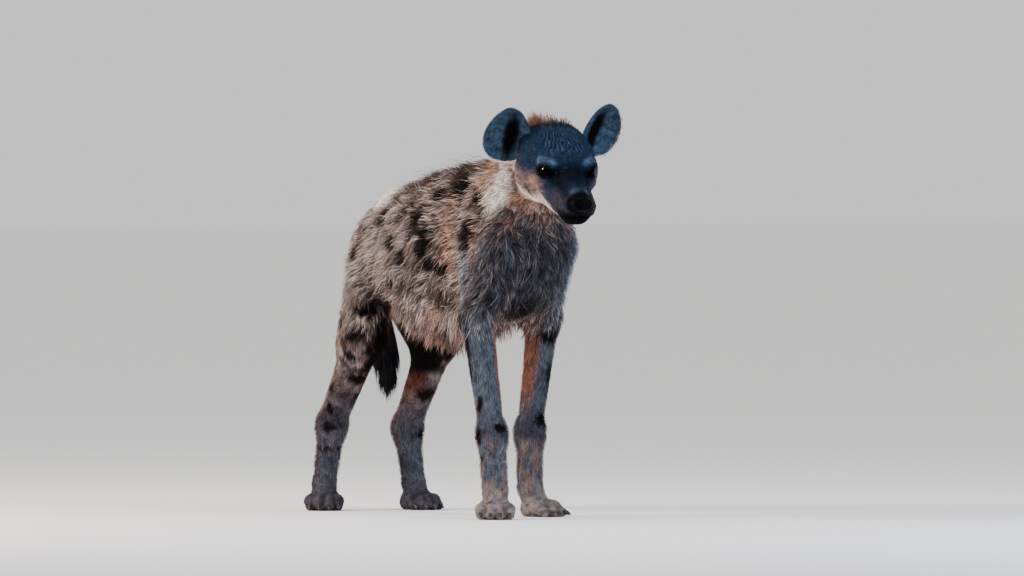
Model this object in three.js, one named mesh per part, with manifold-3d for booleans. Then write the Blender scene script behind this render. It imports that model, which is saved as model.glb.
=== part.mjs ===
// A spotted hyena, standing, at life size: one closed body for each named part of the animal.
// Millimetres, +Z up, +X towards the head, +Y to the animal's left, the soles of the feet at Z = 0.
// The flesh is one smooth distance field, negative inside. Each part is a capsule whose points run
// out along rays until the flesh ends, and thin cuts then part the neighbours.
import * as THREE from "three";
import { mergeVertices } from "three/addons/utils/BufferGeometryUtils.js";
import Module from "manifold-3d";

const wasm = await Module();
wasm.setup();

// Driving dimensions
const GAP = 0.3; // what touching parts keep between them
const SWELL = 0.5; // the same along slanting rays
const ORIGIN = [50, -12]; // the middle of the whole animal's box, in the skeleton's own X and Y
const HEAD_AT = [450, -10, 800]; // middle of the cranium
const HEAD_NOD = 25; // degrees the muzzle drops
const HEAD_TURN = -9; // degrees the muzzle turns to the animal's left
const EYE_AT = [85, 49, -5]; // in the head's own frame
const EYE_R = 13;
const LID = 3.4; // how thick the lids are
const TOE_SPREAD = [-29, -10, 10, 29];
const COAT = 9; // how far the body's coat stands above its flesh
const CREST = 9; // how much deeper it is along the back and the nape
const COAT_FROM = [400, 530]; // heights between which the legs' short hair turns into the coat
const ROOT_DEEP = 13; // how deep a lock's root goes into the flesh

const V = (x, y, z) => new THREE.Vector3(x, y, z);
const sides = { left: 1, right: -1 };

// Distance fields
const ball = (c, r, turn = 0) => {
  const cos = Math.cos((turn * Math.PI) / 180);
  const sin = Math.sin((turn * Math.PI) / 180);
  return (p) => {
    const dx = p.x - c[0];
    const dz = p.z - c[2];
    const x = cos * dx + sin * dz;
    const y = p.y - c[1];
    const z = cos * dz - sin * dx;
    const far = Math.hypot(x / r[0], y / r[1], z / r[2]);
    const steep = Math.hypot(x / (r[0] * r[0]), y / (r[1] * r[1]), z / (r[2] * r[2]));
    return steep < 1e-9 ? -Math.min(...r) : (far * (far - 1)) / steep;
  };
};

const bone = (a, b, ra, rb) => {
  const along = [b[0] - a[0], b[1] - a[1], b[2] - a[2]];
  const long2 = along[0] ** 2 + along[1] ** 2 + along[2] ** 2;
  return (p) => {
    const d = [p.x - a[0], p.y - a[1], p.z - a[2]];
    const t = Math.min(1, Math.max(0, (d[0] * along[0] + d[1] * along[1] + d[2] * along[2]) / long2));
    return (
      Math.hypot(d[0] - along[0] * t, d[1] - along[1] * t, d[2] - along[2] * t) - (ra + (rb - ra) * t)
    );
  };
};

const smoothMin = (a, b, k) => {
  const h = Math.max(k - Math.abs(a - b), 0) / k;
  return Math.min(a, b) - (h * h * k) / 4;
};
const blend = (k, ...fields) => (p) => fields.reduce((d, f) => smoothMin(d, f(p), k), 1e6);
const carve = (k, field, cut) => (p) => -smoothMin(-field(p), cut(p), k);
const grown = (field, by) => (p) => field(p) - by;
const ramp = (x, low, high) => {
  const t = Math.min(1, Math.max(0, (x - low) / (high - low)));
  return t * t * (3 - 2 * t);
};

// A smooth line through [place, value] pairs
function lineThrough(pairs) {
  const last = pairs.length - 1;
  const slope = (i) => {
    const a = pairs[Math.max(i - 1, 0)];
    const b = pairs[Math.min(i + 1, last)];
    return (b[1] - a[1]) / (b[0] - a[0]);
  };
  return (x) => {
    let i = 0;
    while (i < last - 1 && x > pairs[i + 1][0]) i++;
    const [x0, y0] = pairs[i];
    const [x1, y1] = pairs[i + 1];
    const w = x1 - x0;
    const t = Math.min(1, Math.max(0, (x - x0) / w));
    const s = 1 - t;
    const start = (y0 * (1 + 2 * t) + slope(i) * w * t) * s * s;
    const end = (y1 * (3 - 2 * t) - slope(i + 1) * w * s) * t * t;
    return start + end;
  };
}

// Trunk: along X, the back line, the belly line, the half width and the height where it is widest
const TRUNK = [
  [-470, 606, 540, 34, 576],
  [-430, 650, 516, 54, 570],
  [-400, 671, 500, 68, 562],
  [-350, 694, 484, 88, 552],
  [-260, 720, 458, 110, 550],
  [-180, 738, 430, 118, 545],
  [-105, 752, 400, 126, 560],
  [-30, 764, 385, 130, 570],
  [60, 774, 394, 128, 580],
  [150, 782, 410, 118, 590],
  [230, 786, 430, 104, 600],
  [310, 770, 468, 88, 610],
  [360, 736, 520, 72, 615],
];
const trunkLine = (column) => lineThrough(TRUNK.map((station) => [station[0], station[column]]));
const [backLine, bellyLine, halfWidth, widestAt] = [1, 2, 3, 4].map(trunkLine);
const TRUNK_ENDS = [-462, 350];
const END_ROUND = 90;
const barrel = (p) => {
  const top = backLine(p.x);
  const low = bellyLine(p.x);
  const wide = halfWidth(p.x);
  const middle = widestAt(p.x);
  const deep = p.z > middle ? top - middle : middle - low;
  const q = Math.hypot(p.y / wide, (p.z - middle) / deep);
  return (q - 1) * Math.min(wide, deep);
};
const beyondEnds = (p) => Math.min(p.x - TRUNK_ENDS[0], TRUNK_ENDS[1] - p.x);
const trunk = blend(50, carve(END_ROUND, barrel, beyondEnds), ball([285, 0, 590], [90, 78, 125]));

// Neck: the nape over the throat
const nape = bone([425, -8, 812], [235, 0, 700], 58, 78);
const throat = bone([420, -8, 752], [270, 0, 610], 58, 92);
const neck = blend(50, nape, throat);

// Head, in its own frame: x to the nose, z to the crown, alike on both sides
const skull = blend(
  24,
  ball([-18, 0, -8], [72, 64, 52]),
  ball([0, 38, 6], [62, 40, 36]),
  ball([50, 0, 2], [60, 52, 34], -14),
  bone([86, 52, -30], [18, 66, -28], 19, 27),
  ball([16, 54, -52], [50, 34, 42], 10),
  bone([15, 0, -62], [-70, 0, -56], 42, 58),
);
const muzzle = blend(
  16,
  bone([70, 0, -6], [186, 0, -27], 34, 21),
  bone([86, 22, -44], [176, 18, -49], 31, 26),
  bone([40, 30, -76], [166, 10, -72], 24, 19),
  ball([174, 0, -75], [21, 25, 16]),
);
const brow = ball([78, 42, 10], [28, 24, 14], -14);
const headField = blend(14, blend(24, skull, muzzle), brow);
const NOSE_AT = [200, 0, -31];
const nosePad = ball(NOSE_AT, [19, 23, 16]);
const headTurn = new THREE.Matrix4()
  .makeRotationZ((HEAD_TURN * Math.PI) / 180)
  .multiply(new THREE.Matrix4().makeRotationY((HEAD_NOD * Math.PI) / 180))
  .setPosition(...HEAD_AT);
const toHead = headTurn.clone().invert();
const head = (p) => {
  const q = p.clone().applyMatrix4(toHead);
  q.y = Math.abs(q.y);
  return headField(q);
};
const inHead = (x, y, z) => V(x, y, z).applyMatrix4(headTurn);

// Legs: the places of the joints, side by side
const FORE = {
  right: {
    shoulder: [318, -70, 590],
    elbow: [250, -96, 430],
    wrist: [300, -88, 188],
    ankle: [301, -80, 62],
    yaw: -28,
  },
  left: {
    shoulder: [300, 68, 590],
    elbow: [196, 94, 430],
    wrist: [160, 80, 188],
    ankle: [176, 72, 62],
    yaw: 26,
  },
};
const HIND = {
  right: {
    hip: [-345, -45, 535],
    knee: [-264, -110, 380],
    hock: [-424, -106, 188],
    ankle: [-456, -108, 60],
    yaw: -28,
  },
  left: {
    hip: [-350, 45, 535],
    knee: [-322, 104, 375],
    hock: [-446, 94, 180],
    ankle: [-408, 90, 60],
    yaw: -2,
  },
};
const moved = (p, x, y, z) => [p[0] + x, p[1] + y, p[2] + z];
const between = (a, b, t) => a.map((v, k) => v + (b[k] - v) * t);

function foreLeg(side) {
  const s = sides[side];
  const { shoulder, elbow, wrist, ankle } = FORE[side];
  return blend(
    22,
    ball(moved(shoulder, -55, s * -10, 75), [72, 34, 105], -18),
    bone(shoulder, elbow, 50, 38),
    bone(moved(shoulder, -100, s * 2, 10), moved(elbow, -14, 0, 14), 46, 30),
    bone(elbow, wrist, 37, 25),
    ball(moved(wrist, 2, 0, -8), [28, 27, 32]),
    bone(wrist, ankle, 28, 28),
  );
}

function hindLeg(side) {
  const s = sides[side];
  const { hip, knee, hock, ankle } = HIND[side];
  const heel = moved(hock, -34, 0, 12);
  return blend(
    24,
    bone(hip, knee, 60, 48),
    bone(moved(hip, -28, s * 2, -50), moved(knee, -68, 0, -10), 50, 32),
    bone(knee, hock, 42, 25),
    bone(moved(knee, -64, 0, -34), heel, 20, 12),
    ball(hock, [28, 26, 30]),
    bone(hock, ankle, 28, 25),
  );
}

// Feet: a pad with four toes, turned by yaw about the ankle
function footFrame({ ankle, yaw }) {
  const turn = new THREE.Matrix4().makeRotationZ((yaw * Math.PI) / 180).setPosition(ankle[0], ankle[1], 0);
  return (x, y, z) => V(x, y, z).applyMatrix4(turn).toArray();
}
const TOE_REACH = (y) => 76 - 0.013 * y * y;
function pad(limb) {
  const at = footFrame(limb);
  return blend(
    16,
    bone(at(2, 0, 58), at(20, 0, 26), 27, 26),
    bone(at(12, -17, 17), at(34, -19, 15), 21, 18),
    bone(at(12, 17, 17), at(34, 19, 15), 21, 18),
  );
}
function toe(limb, y) {
  const at = footFrame(limb);
  const reach = TOE_REACH(y);
  return blend(
    10,
    bone(at(22, y * 0.8, 22), at(reach - 22, y, 21), 16, 13.5),
    bone(at(reach - 22, y, 21), at(reach, y * 1.06, 9.5), 13.5, 11),
  );
}

// Tail: the dock hangs from the rump, swung to the left, and the brush hides its end
const TAIL = [
  [-438, 0, 612],
  [-482, 8, 580],
  [-499, 36, 505],
  [-500, 60, 430],
];
const DOCK_CORE = [30, 24, 19, 15]; // radii at those places
const tailDock = blend(
  20,
  bone(TAIL[0], TAIL[1], DOCK_CORE[0], DOCK_CORE[1]),
  bone(TAIL[1], TAIL[2], DOCK_CORE[1], DOCK_CORE[2]),
  bone(TAIL[2], TAIL[3], DOCK_CORE[2], DOCK_CORE[3]),
);
const BRUSH = [
  [-499, 38, 498],
  [-501, 68, 410],
  [-499, 74, 325],
  [-501, 60, 215],
];
const BRUSH_CORE = [16, 15, 13, 5]; // radii at those places, under the locks
const tailBrush = blend(
  24,
  bone(BRUSH[0], BRUSH[1], BRUSH_CORE[0], BRUSH_CORE[1]),
  bone(BRUSH[1], BRUSH[2], BRUSH_CORE[1], BRUSH_CORE[2]),
  bone(BRUSH[2], moved(BRUSH[3], 0, 4, 45), BRUSH_CORE[2], BRUSH_CORE[3]),
);

// What lies ahead of a plane, and what lies inside several fields at once
const ahead = (point, way, by = 0) => {
  const d = V(...way).normalize();
  const level = d.dot(V(...point));
  return (p) => level - d.dot(p) - by;
};
const behind = (point, way, by = 0) => ahead(point, way.map((c) => -c), by);
const within = (...fields) => (p) => Math.max(...fields.map((f) => f(p)));

// The whole body
const foreLegs = { left: foreLeg("left"), right: foreLeg("right") };
const hindLegs = { left: hindLeg("left"), right: hindLeg("right") };
const trunkAndNeck = blend(60, trunk, neck);
const outline = blend(34, trunkAndNeck, foreLegs.left, foreLegs.right, hindLegs.left, hindLegs.right);
const crestDeep = (p) => CREST * Math.exp(-((p.y / 44) ** 2)) * ramp(p.x, -380, -100) * ramp(p.z, 660, 730);
const underCoat = (field) => (p) => field(p) + COAT * ramp(p.z, ...COAT_FROM) + crestDeep(p);
const body = underCoat(outline);
const bodyAndHead = blend(40, body, head);
const bodyAndTail = blend(22, body, bone(TAIL[0], TAIL[1], 32, 24));

// A geometry, or points and triangles, as a solid
function solidOf(geometry) {
  const g = geometry.clone();
  g.deleteAttribute("normal");
  g.deleteAttribute("uv");
  const merged = mergeVertices(g, 1e-3);
  return new wasm.Manifold(
    new wasm.Mesh({
      numProp: 3,
      vertProperties: merged.attributes.position.array,
      triVerts: new Uint32Array(merged.index.array),
    }),
  );
}

// How far a ray from inside the flesh runs before it comes out
function runOut(field, from, way, reach) {
  const p = from.clone();
  let t = 0;
  let step = 0;
  while (t < reach) {
    const d = field(p);
    if (d > 0) break;
    step = Math.min(Math.max(-d * 0.8, 0.4), 14);
    t += step;
    p.copy(from).addScaledVector(way, t);
  }
  if (t >= reach) return reach;
  let low = Math.max(t - step, 0);
  let high = t;
  for (let i = 0; i < 12; i++) {
    const middle = (low + high) / 2;
    p.copy(from).addScaledVector(way, middle);
    if (field(p) > 0) high = middle;
    else low = middle;
  }
  return low;
}

// A capsule round a spine, each point pushed out to where the field ends
function wrap(field, { spine, up, around, rows, cap = 4, reach = 200, swell = 0 }) {
  const line = new THREE.CatmullRomCurve3(spine.map((p) => V(...p)), false, "centripetal");
  const geometry = new THREE.CapsuleGeometry(1, 1, cap, around, rows);
  const place = geometry.attributes.position;
  const normal = geometry.attributes.normal;
  const upward = V(...up);
  for (let i = 0; i < place.count; i++) {
    const n = V(normal.getX(i), normal.getY(i), normal.getZ(i));
    const t = Math.min(1, Math.max(0, place.getY(i) - n.y + 0.5));
    const along = line.getTangent(t);
    const raised = upward.clone().addScaledVector(along, -upward.dot(along)).normalize();
    const across = along.clone().cross(raised);
    const way = across.multiplyScalar(n.x).addScaledVector(along, n.y).addScaledVector(raised, n.z);
    way.normalize();
    const core = line.getPoint(t);
    core.addScaledVector(way, runOut(field, core, way, reach) + swell);
    place.setXYZ(i, core.x, core.y, core.z);
  }
  return solidOf(geometry);
}

// What lies past a plane through a point, facing a way
const past = (solid, point, way) => {
  const d = V(...way).normalize();
  return solid.trimByPlane(d.toArray(), d.dot(V(...point)));
};
// The two sides of a thin cut
const partAt = (solid, point, way) => {
  const d = V(...way).normalize();
  const half = d.clone().multiplyScalar(GAP / 2);
  const ahead = past(solid, V(...point).add(half).toArray(), way);
  const behind = past(solid, V(...point).sub(half).toArray(), d.negate().toArray());
  return [ahead, behind];
};
const aboveFloor = (solid) => past(solid, [0, 0, 0], [0, 0, 1]);
const largest = (solid) => solid.decompose().reduce((a, b) => (a.volume() > b.volume() ? a : b));

// The materials, from the photograph
const coat = (color) => new THREE.MeshStandardMaterial({ color, roughness: 0.95, metalness: 0 });
const LOOKS = {
  face: coat("#4a5058"),
  body_coat: coat("#86705f"),
  neck_coat: coat("#a08a78"),
  leg_coat: coat("#6f5b50"),
  tail_hair: coat("#1d1818"),
  nose_skin: new THREE.MeshStandardMaterial({ color: "#15161a", roughness: 0.45, metalness: 0 }),
  eye: new THREE.MeshStandardMaterial({ color: "#0c0807", roughness: 0.08, metalness: 0 }),
  claw: new THREE.MeshStandardMaterial({ color: "#1b1614", roughness: 0.5, metalness: 0 }),
};

const hyena = new THREE.Group();
hyena.position.set(-ORIGIN[0], -ORIGIN[1], 0);
const parts = new Map();
const keep = (name, solid, look) => parts.set(name, { solid: largest(solid), look });
function geometryOf(solid) {
  const { vertProperties, triVerts } = solid.getMesh();
  return new THREE.BufferGeometry()
    .setAttribute("position", new THREE.BufferAttribute(new Float32Array(vertProperties), 3))
    .setIndex(new THREE.BufferAttribute(new Uint32Array(triVerts), 1));
}
// Only the outer surface is kept, so a hollow that the locks close in is filled
function show(name, solid, look) {
  const geometry = geometryOf(largest(solidOf(geometryOf(largest(solid)))));
  geometry.computeVertexNormals();
  const mesh = new THREE.Mesh(geometry, LOOKS[look]);
  mesh.name = name;
  hyena.add(mesh);
}

// Sleeves: the space that belongs to each leg, with its socket in the trunk, down past the floor
const UNDER_FLOOR = -60;
const CLEAR_OF_MIDLINE = 6;
function foreSleeve(side) {
  const s = sides[side];
  const { shoulder, elbow, ankle } = FORE[side];
  const top = moved(shoulder, -70, s * 75, 95);
  const joint = moved(shoulder, -25, s * 72, -20);
  const bend = moved(elbow, 0, s * 14, 0);
  const low = [ankle[0] + 20, ankle[1] + s * 40, UNDER_FLOOR];
  const field = blend(40, bone(top, joint, 92, 104), bone(joint, bend, 104, 82), bone(bend, low, 82, 105));
  return { field, spine: [top, joint, bend, low] };
}
function hindSleeve(side) {
  const s = sides[side];
  const { hip, knee, ankle } = HIND[side];
  const top = moved(hip, -5, s * 82, 10);
  const ham = moved(between(hip, knee, 0.5), -28, s * 35, -10);
  const bend = moved(knee, -60, s * 14, -50);
  const low = [ankle[0] + 10, ankle[1] + s * 40, UNDER_FLOOR];
  const midline = (p) => CLEAR_OF_MIDLINE - s * p.y;
  const round = blend(40, bone(top, ham, 116, 124), bone(ham, bend, 124, 104), bone(bend, low, 104, 112));
  return { field: within(round, midline), spine: [top, ham, bend, low] };
}
const sleeveSolid = ({ field, spine }, swell = 0) =>
  wrap(field, { spine, up: [1, 0, 0], around: 14, rows: 6, cap: 3, reach: 300, swell });
const clearOf = (solid, sleeve) => solid.subtract(sleeveSolid(sleeve)).subtract(sleeveSolid(sleeve, SWELL));

const sleeves = {};
for (const side of Object.keys(sides)) {
  sleeves[`fore_${side}`] = foreSleeve(side);
  sleeves[`hind_${side}`] = hindSleeve(side);
}

// Trunk, in chest, belly and rump
const SPARE = 22; // how far a part runs past a cut before the cut is made
const NECK_CUT = { at: [318, 0, 690], way: [0.83, 0, 0.56] };
const HEAD_CUT = {
  at: inHead(-34, 0, -20).toArray(),
  way: V(0.8, 0, 0.6).transformDirection(headTurn).toArray(),
};
const trunkField = within(bodyAndTail, grown(trunk, 30), behind(NECK_CUT.at, NECK_CUT.way, SPARE));
let torso = wrap(trunkField, {
  spine: [
    [-420, 0, 610],
    [-200, 0, 590],
    [80, 0, 580],
    [290, 0, 620],
  ],
  up: [0, 0, 1],
  around: 28,
  rows: 19,
  cap: 4,
});
for (const sleeve of Object.values(sleeves)) torso = clearOf(torso, sleeve);
const CHEST_CUT = { at: [-60, 0, 600], way: [1, 0, 0] };
const RUMP_CUT = { at: [-225, 0, 600], way: [1, 0, 0] };
const trunkOnly = partAt(torso, NECK_CUT.at, NECK_CUT.way)[1];
const [chest, backHalf] = partAt(trunkOnly, CHEST_CUT.at, CHEST_CUT.way);
const [belly, rumpWhole] = partAt(backHalf, RUMP_CUT.at, RUMP_CUT.way);

// Neck
const neckField = within(
  bodyAndHead,
  ahead(NECK_CUT.at, NECK_CUT.way, SPARE),
  behind(HEAD_CUT.at, HEAD_CUT.way, SPARE),
);
const NECK_WRAP = {
  spine: [
    [335, 0, 695],
    [380, -4, 735],
    [415, -8, 765],
  ],
  up: [0, 0, 1],
  around: 24,
  rows: 7,
  cap: 4,
  reach: 170,
};
const neckWhole = wrap(neckField, NECK_WRAP);
let neckPart = partAt(neckWhole, NECK_CUT.at, NECK_CUT.way)[0];
neckPart = partAt(neckPart, HEAD_CUT.at, HEAD_CUT.way)[1];
for (const side of Object.keys(sides)) neckPart = clearOf(neckPart, sleeves[`fore_${side}`]);

// Tail: the dock sits on the rump, and the brush on the dock
const DOCK_SPACE = [moved(TAIL[1], 14, -2, 12), moved(TAIL[3], 0, 0, -40)];
const dockSpace = (by) =>
  wrap(bone(...DOCK_SPACE, 46 + by, 60 + by), {
    spine: DOCK_SPACE,
    up: [1, 0, 0],
    around: 12,
    rows: 1,
    cap: 3,
  });
const dockWhole = wrap(within(blend(22, body, tailDock), bone(TAIL[0], TAIL[3], 80, 90)), {
  spine: TAIL,
  up: [0, 1, 0],
  around: 12,
  rows: 7,
  cap: 3,
  reach: 60,
});
const rump = rumpWhole.subtract(dockSpace(GAP));
const BRUSH_CUT = { at: [-499, 38, 500], way: [-0.05, 0.3, -1] };
const dock = partAt(dockWhole.intersect(dockSpace(0)), BRUSH_CUT.at, BRUSH_CUT.way)[1];
const brushWhole = wrap(tailBrush, { spine: BRUSH, up: [0, 1, 0], around: 8, rows: 5, cap: 2 });
const brush = partAt(brushWhole, BRUSH_CUT.at, BRUSH_CUT.way)[0];

keep("chest", chest, "body_coat");
keep("belly", belly, "body_coat");
keep("rump", rump, "body_coat");
keep("neck", neckPart, "neck_coat");
keep("tail_dock", dock, "body_coat");
keep("tail_brush", brush, "tail_hair");

// Head, with its jaw, nose, eyes and ears
const headSpine = [inHead(-10, 0, -14), inHead(60, 0, -26), inHead(160, 0, -36)].map((p) => p.toArray());
const HEAD_WRAP = {
  spine: headSpine,
  up: V(0, 0, 1).transformDirection(headTurn).toArray(),
  around: 32,
  rows: 16,
  cap: 5,
  reach: 160,
};
const fromHead = (field) => (p) => field(p.clone().applyMatrix4(toHead));
const headFlesh = within(bodyAndHead, ahead(HEAD_CUT.at, HEAD_CUT.way, SPARE));
const headWhole = wrap(headFlesh, HEAD_WRAP);
let headPart = partAt(headWhole, HEAD_CUT.at, HEAD_CUT.way)[0];

// A flat outline in the head's side view, drawn right across the head
function acrossHead(outline, by = 0) {
  const shape = new THREE.Shape(outline.map(([x, z]) => new THREE.Vector2(x, z + by)));
  const wide = 240;
  const prism = new THREE.ExtrudeGeometry(shape, { depth: wide, bevelEnabled: false });
  const stand = new THREE.Matrix4().makeRotationX(Math.PI / 2).setPosition(0, wide / 2, 0);
  return solidOf(prism.applyMatrix4(headTurn.clone().multiply(stand)));
}
const MOUTH = [
  [240, -48],
  [174, -54],
  [140, -64],
  [108, -69],
  [78, -60],
];
const JAW_BACK = [
  [50, -86],
  [40, -150],
  [240, -150],
];
const mouthLine = MOUTH.map(([x, z]) => [x, z + GAP]);
const jaw = headPart.intersect(acrossHead([...MOUTH, ...JAW_BACK]));
headPart = headPart.subtract(acrossHead([...mouthLine, ...JAW_BACK.map(([x, z]) => [x - GAP, z])]));

// Nose pad with two nostrils, set into the end of the muzzle
const padSolid = (by) =>
  wrap(fromHead(grown(nosePad, by)), {
    spine: [-6, 6].map((y) => inHead(NOSE_AT[0], y, NOSE_AT[2]).toArray()),
    up: HEAD_WRAP.up,
    around: 12,
    rows: 1,
    cap: 3,
  });
const nostril = (s) => {
  const hole = new THREE.SphereGeometry(1, 6, 4).scale(9, 4.6, 5.2);
  hole.rotateZ((s * 42 * Math.PI) / 180).translate(NOSE_AT[0] + 14, s * 11, NOSE_AT[2] - 1);
  return solidOf(hole.applyMatrix4(headTurn));
};
let nose = padSolid(0);
for (const s of Object.values(sides)) nose = nose.subtract(nostril(s));
headPart = headPart.subtract(padSolid(GAP));
keep("nose_pad", nose, "nose_skin");

// Eyes, each in a socket that opens between the lids
function eyeball(s, r) {
  const g = new THREE.SphereGeometry(r, 10, 7);
  return solidOf(g.translate(EYE_AT[0], s * EYE_AT[1], EYE_AT[2]).applyMatrix4(headTurn));
}
function lidOpening(s) {
  const almond = new THREE.SphereGeometry(1, 12, 6).scale(15, 14, 7);
  almond.rotateX(s * -0.16).rotateZ(s * 0.6);
  almond.translate(EYE_AT[0] + 12, s * (EYE_AT[1] + 8), EYE_AT[2]);
  return solidOf(almond.applyMatrix4(headTurn));
}
for (const [side, s] of Object.entries(sides)) {
  headPart = headPart.add(eyeball(s, EYE_R + LID)).subtract(eyeball(s, EYE_R + GAP)).subtract(lidOpening(s));
  keep(`eye_${side}`, eyeball(s, EYE_R), "eye");
}
keep("lower_jaw", jaw.subtract(padSolid(GAP)), "face");

// Ears: a rounded leaf, cupped towards the front
const EAR = { long: 69, wide: 50, thick: 4, cup: 24 };
const EAR_OUT = { left: 111, right: 107 };
const EAR_UP = { left: 34, right: 26 };
function ear(side) {
  const s = sides[side];
  const g = new THREE.SphereGeometry(1, 18, 9);
  g.rotateZ(Math.PI / 2);
  const place = g.attributes.position;
  for (let i = 0; i < place.count; i++) {
    // x runs through the leaf, y across it and z to its tip
    const [x, y, z] = [place.getX(i), place.getY(i), place.getZ(i)];
    const rim = Math.min(1, Math.hypot(y, z));
    const lean = Math.atan2(y, z);
    const leaf = 1 + 0.05 * Math.cos(3 * lean) - 0.06 * Math.cos(lean);
    const deep = -EAR.cup * (1 - rim * rim);
    const half = EAR.thick * (0.5 + 0.6 * (1 - rim));
    place.setXYZ(i, deep + half * x, y * EAR.wide * leaf, z * EAR.long * leaf);
  }
  g.rotateX(s * 0.04).rotateY(0.17).rotateZ(s * 0.32).translate(-31, s * EAR_OUT[side], EAR_UP[side]);
  return solidOf(g.applyMatrix4(headTurn));
}
for (const side of Object.keys(sides)) {
  const offHead = ear(side).subtract(wrap(headFlesh, { ...HEAD_WRAP, swell: SWELL }));
  const whole = offHead.subtract(wrap(neckField, { ...NECK_WRAP, swell: SWELL }));
  keep(`ear_${side}`, whole, "face");
}
keep("head", headPart, "face");

// Legs
function toeSolid(limb, y, swell = 0) {
  const at = footFrame(limb);
  const reach = TOE_REACH(y);
  const spine = [at(24, y * 0.8, 22), at(reach - 22, y, 20), at(reach, y * 1.06, 10)];
  return wrap(toe(limb, y), { spine, up: [0, 0, 1], around: 7, rows: 2, cap: 2, swell });
}
function claw(limb, y) {
  const at = footFrame(limb);
  const reach = TOE_REACH(y);
  const spine = [at(reach + 4, y * 1.07, 13), at(reach + 14, y * 1.1, 10.5), at(reach + 23, y * 1.12, 4.5)];
  const field = blend(4, bone(spine[0], spine[1], 5.4, 4.4), bone(spine[1], spine[2], 4.4, 1.6));
  const whole = wrap(field, { spine, up: [0, 0, 1], around: 5, rows: 1, cap: 1 });
  return aboveFloor(whole.subtract(toeSolid(limb, y, SWELL)));
}
function foot(limb, leg, top) {
  const at = footFrame(limb);
  const shin = wrap(blend(18, leg, pad(limb)), {
    spine: [top, moved(limb.ankle, 0, 0, 6), at(16, 0, 30)],
    up: [1, 0, 0],
    around: 12,
    rows: 3,
    cap: 2,
    reach: 80,
  });
  let whole = shin;
  for (const y of TOE_SPREAD) whole = whole.add(toeSolid(limb, y));
  return aboveFloor(whole);
}
function addLeg(kind, side) {
  const fore = kind === "fore";
  const limb = (fore ? FORE : HIND)[side];
  const s = sides[side];
  const leg = (fore ? foreLegs : hindLegs)[side];
  const root = fore ? limb.shoulder : limb.hip;
  const middle = fore ? limb.elbow : limb.knee;
  const low = fore ? limb.wrist : limb.hock;
  const sleeve = sleeves[`${kind}_${side}`];
  const upper = wrap(within(body, grown(sleeve.field, SPARE)), {
    spine: fore
      ? [moved(root, -48, s * 10, 80), between(middle, low, 0.45)]
      : [moved(root, -5, s * 15, 25), between(middle, low, 0.45)],
    up: [1, 0, 0],
    around: 18,
    rows: 10,
    cap: 3,
    reach: 175,
  }).intersect(sleeveSolid(sleeve));
  const lower = wrap(underCoat(leg), {
    spine: [middle, low, moved(low, (limb.ankle[0] - low[0]) / 2, 0, (limb.ankle[2] - low[2]) / 2)],
    up: [1, 0, 0],
    around: 12,
    rows: 7,
    cap: 2,
    reach: 100,
  });
  const elbowCut = fore
    ? { at: moved(middle, 6, 0, -48), way: [0.1, 0, -1] }
    : { at: moved(middle, -46, 0, -36), way: [-0.62, 0, -0.78] };
  const wristCut = { at: moved(low, 0, 0, fore ? -34 : -38), way: [0.04, 0, -1] };
  const below = partAt(lower, elbowCut.at, elbowCut.way)[0];
  const upperPart = partAt(upper, elbowCut.at, elbowCut.way)[1];
  const lowerPart = partAt(below, wristCut.at, wristCut.way)[1];
  const footPart = partAt(foot(limb, leg, moved(low, 0, 0, 6)), wristCut.at, wristCut.way)[0];
  keep(fore ? `shoulder_${side}` : `thigh_${side}`, upperPart, "body_coat");
  keep(fore ? `forearm_${side}` : `shank_${side}`, lowerPart, "leg_coat");
  keep(`${kind}_foot_${side}`, footPart, "leg_coat");
  TOE_SPREAD.forEach((y, i) => keep(`claw_${kind}_${side}_${i + 1}`, claw(limb, y), "claw"));
}
for (const kind of ["fore", "hind"]) for (const side of Object.keys(sides)) addLeg(kind, side);

// Locks: flat blades of hair that leave the flesh, follow it and taper to their tips
const draw = (() => {
  let state = 11;
  return (low, high) => {
    state = (state * 48271) % 2147483647;
    return low + ((high - low) * state) / 2147483647;
  };
})();
const slope = (field, p) => {
  const e = 1.5;
  const along = (x, y, z) => field(V(p.x + x, p.y + y, p.z + z)) - field(V(p.x - x, p.y - y, p.z - z));
  return V(along(e, 0, 0), along(0, e, 0), along(0, 0, e)).divideScalar(2 * e);
};
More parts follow.
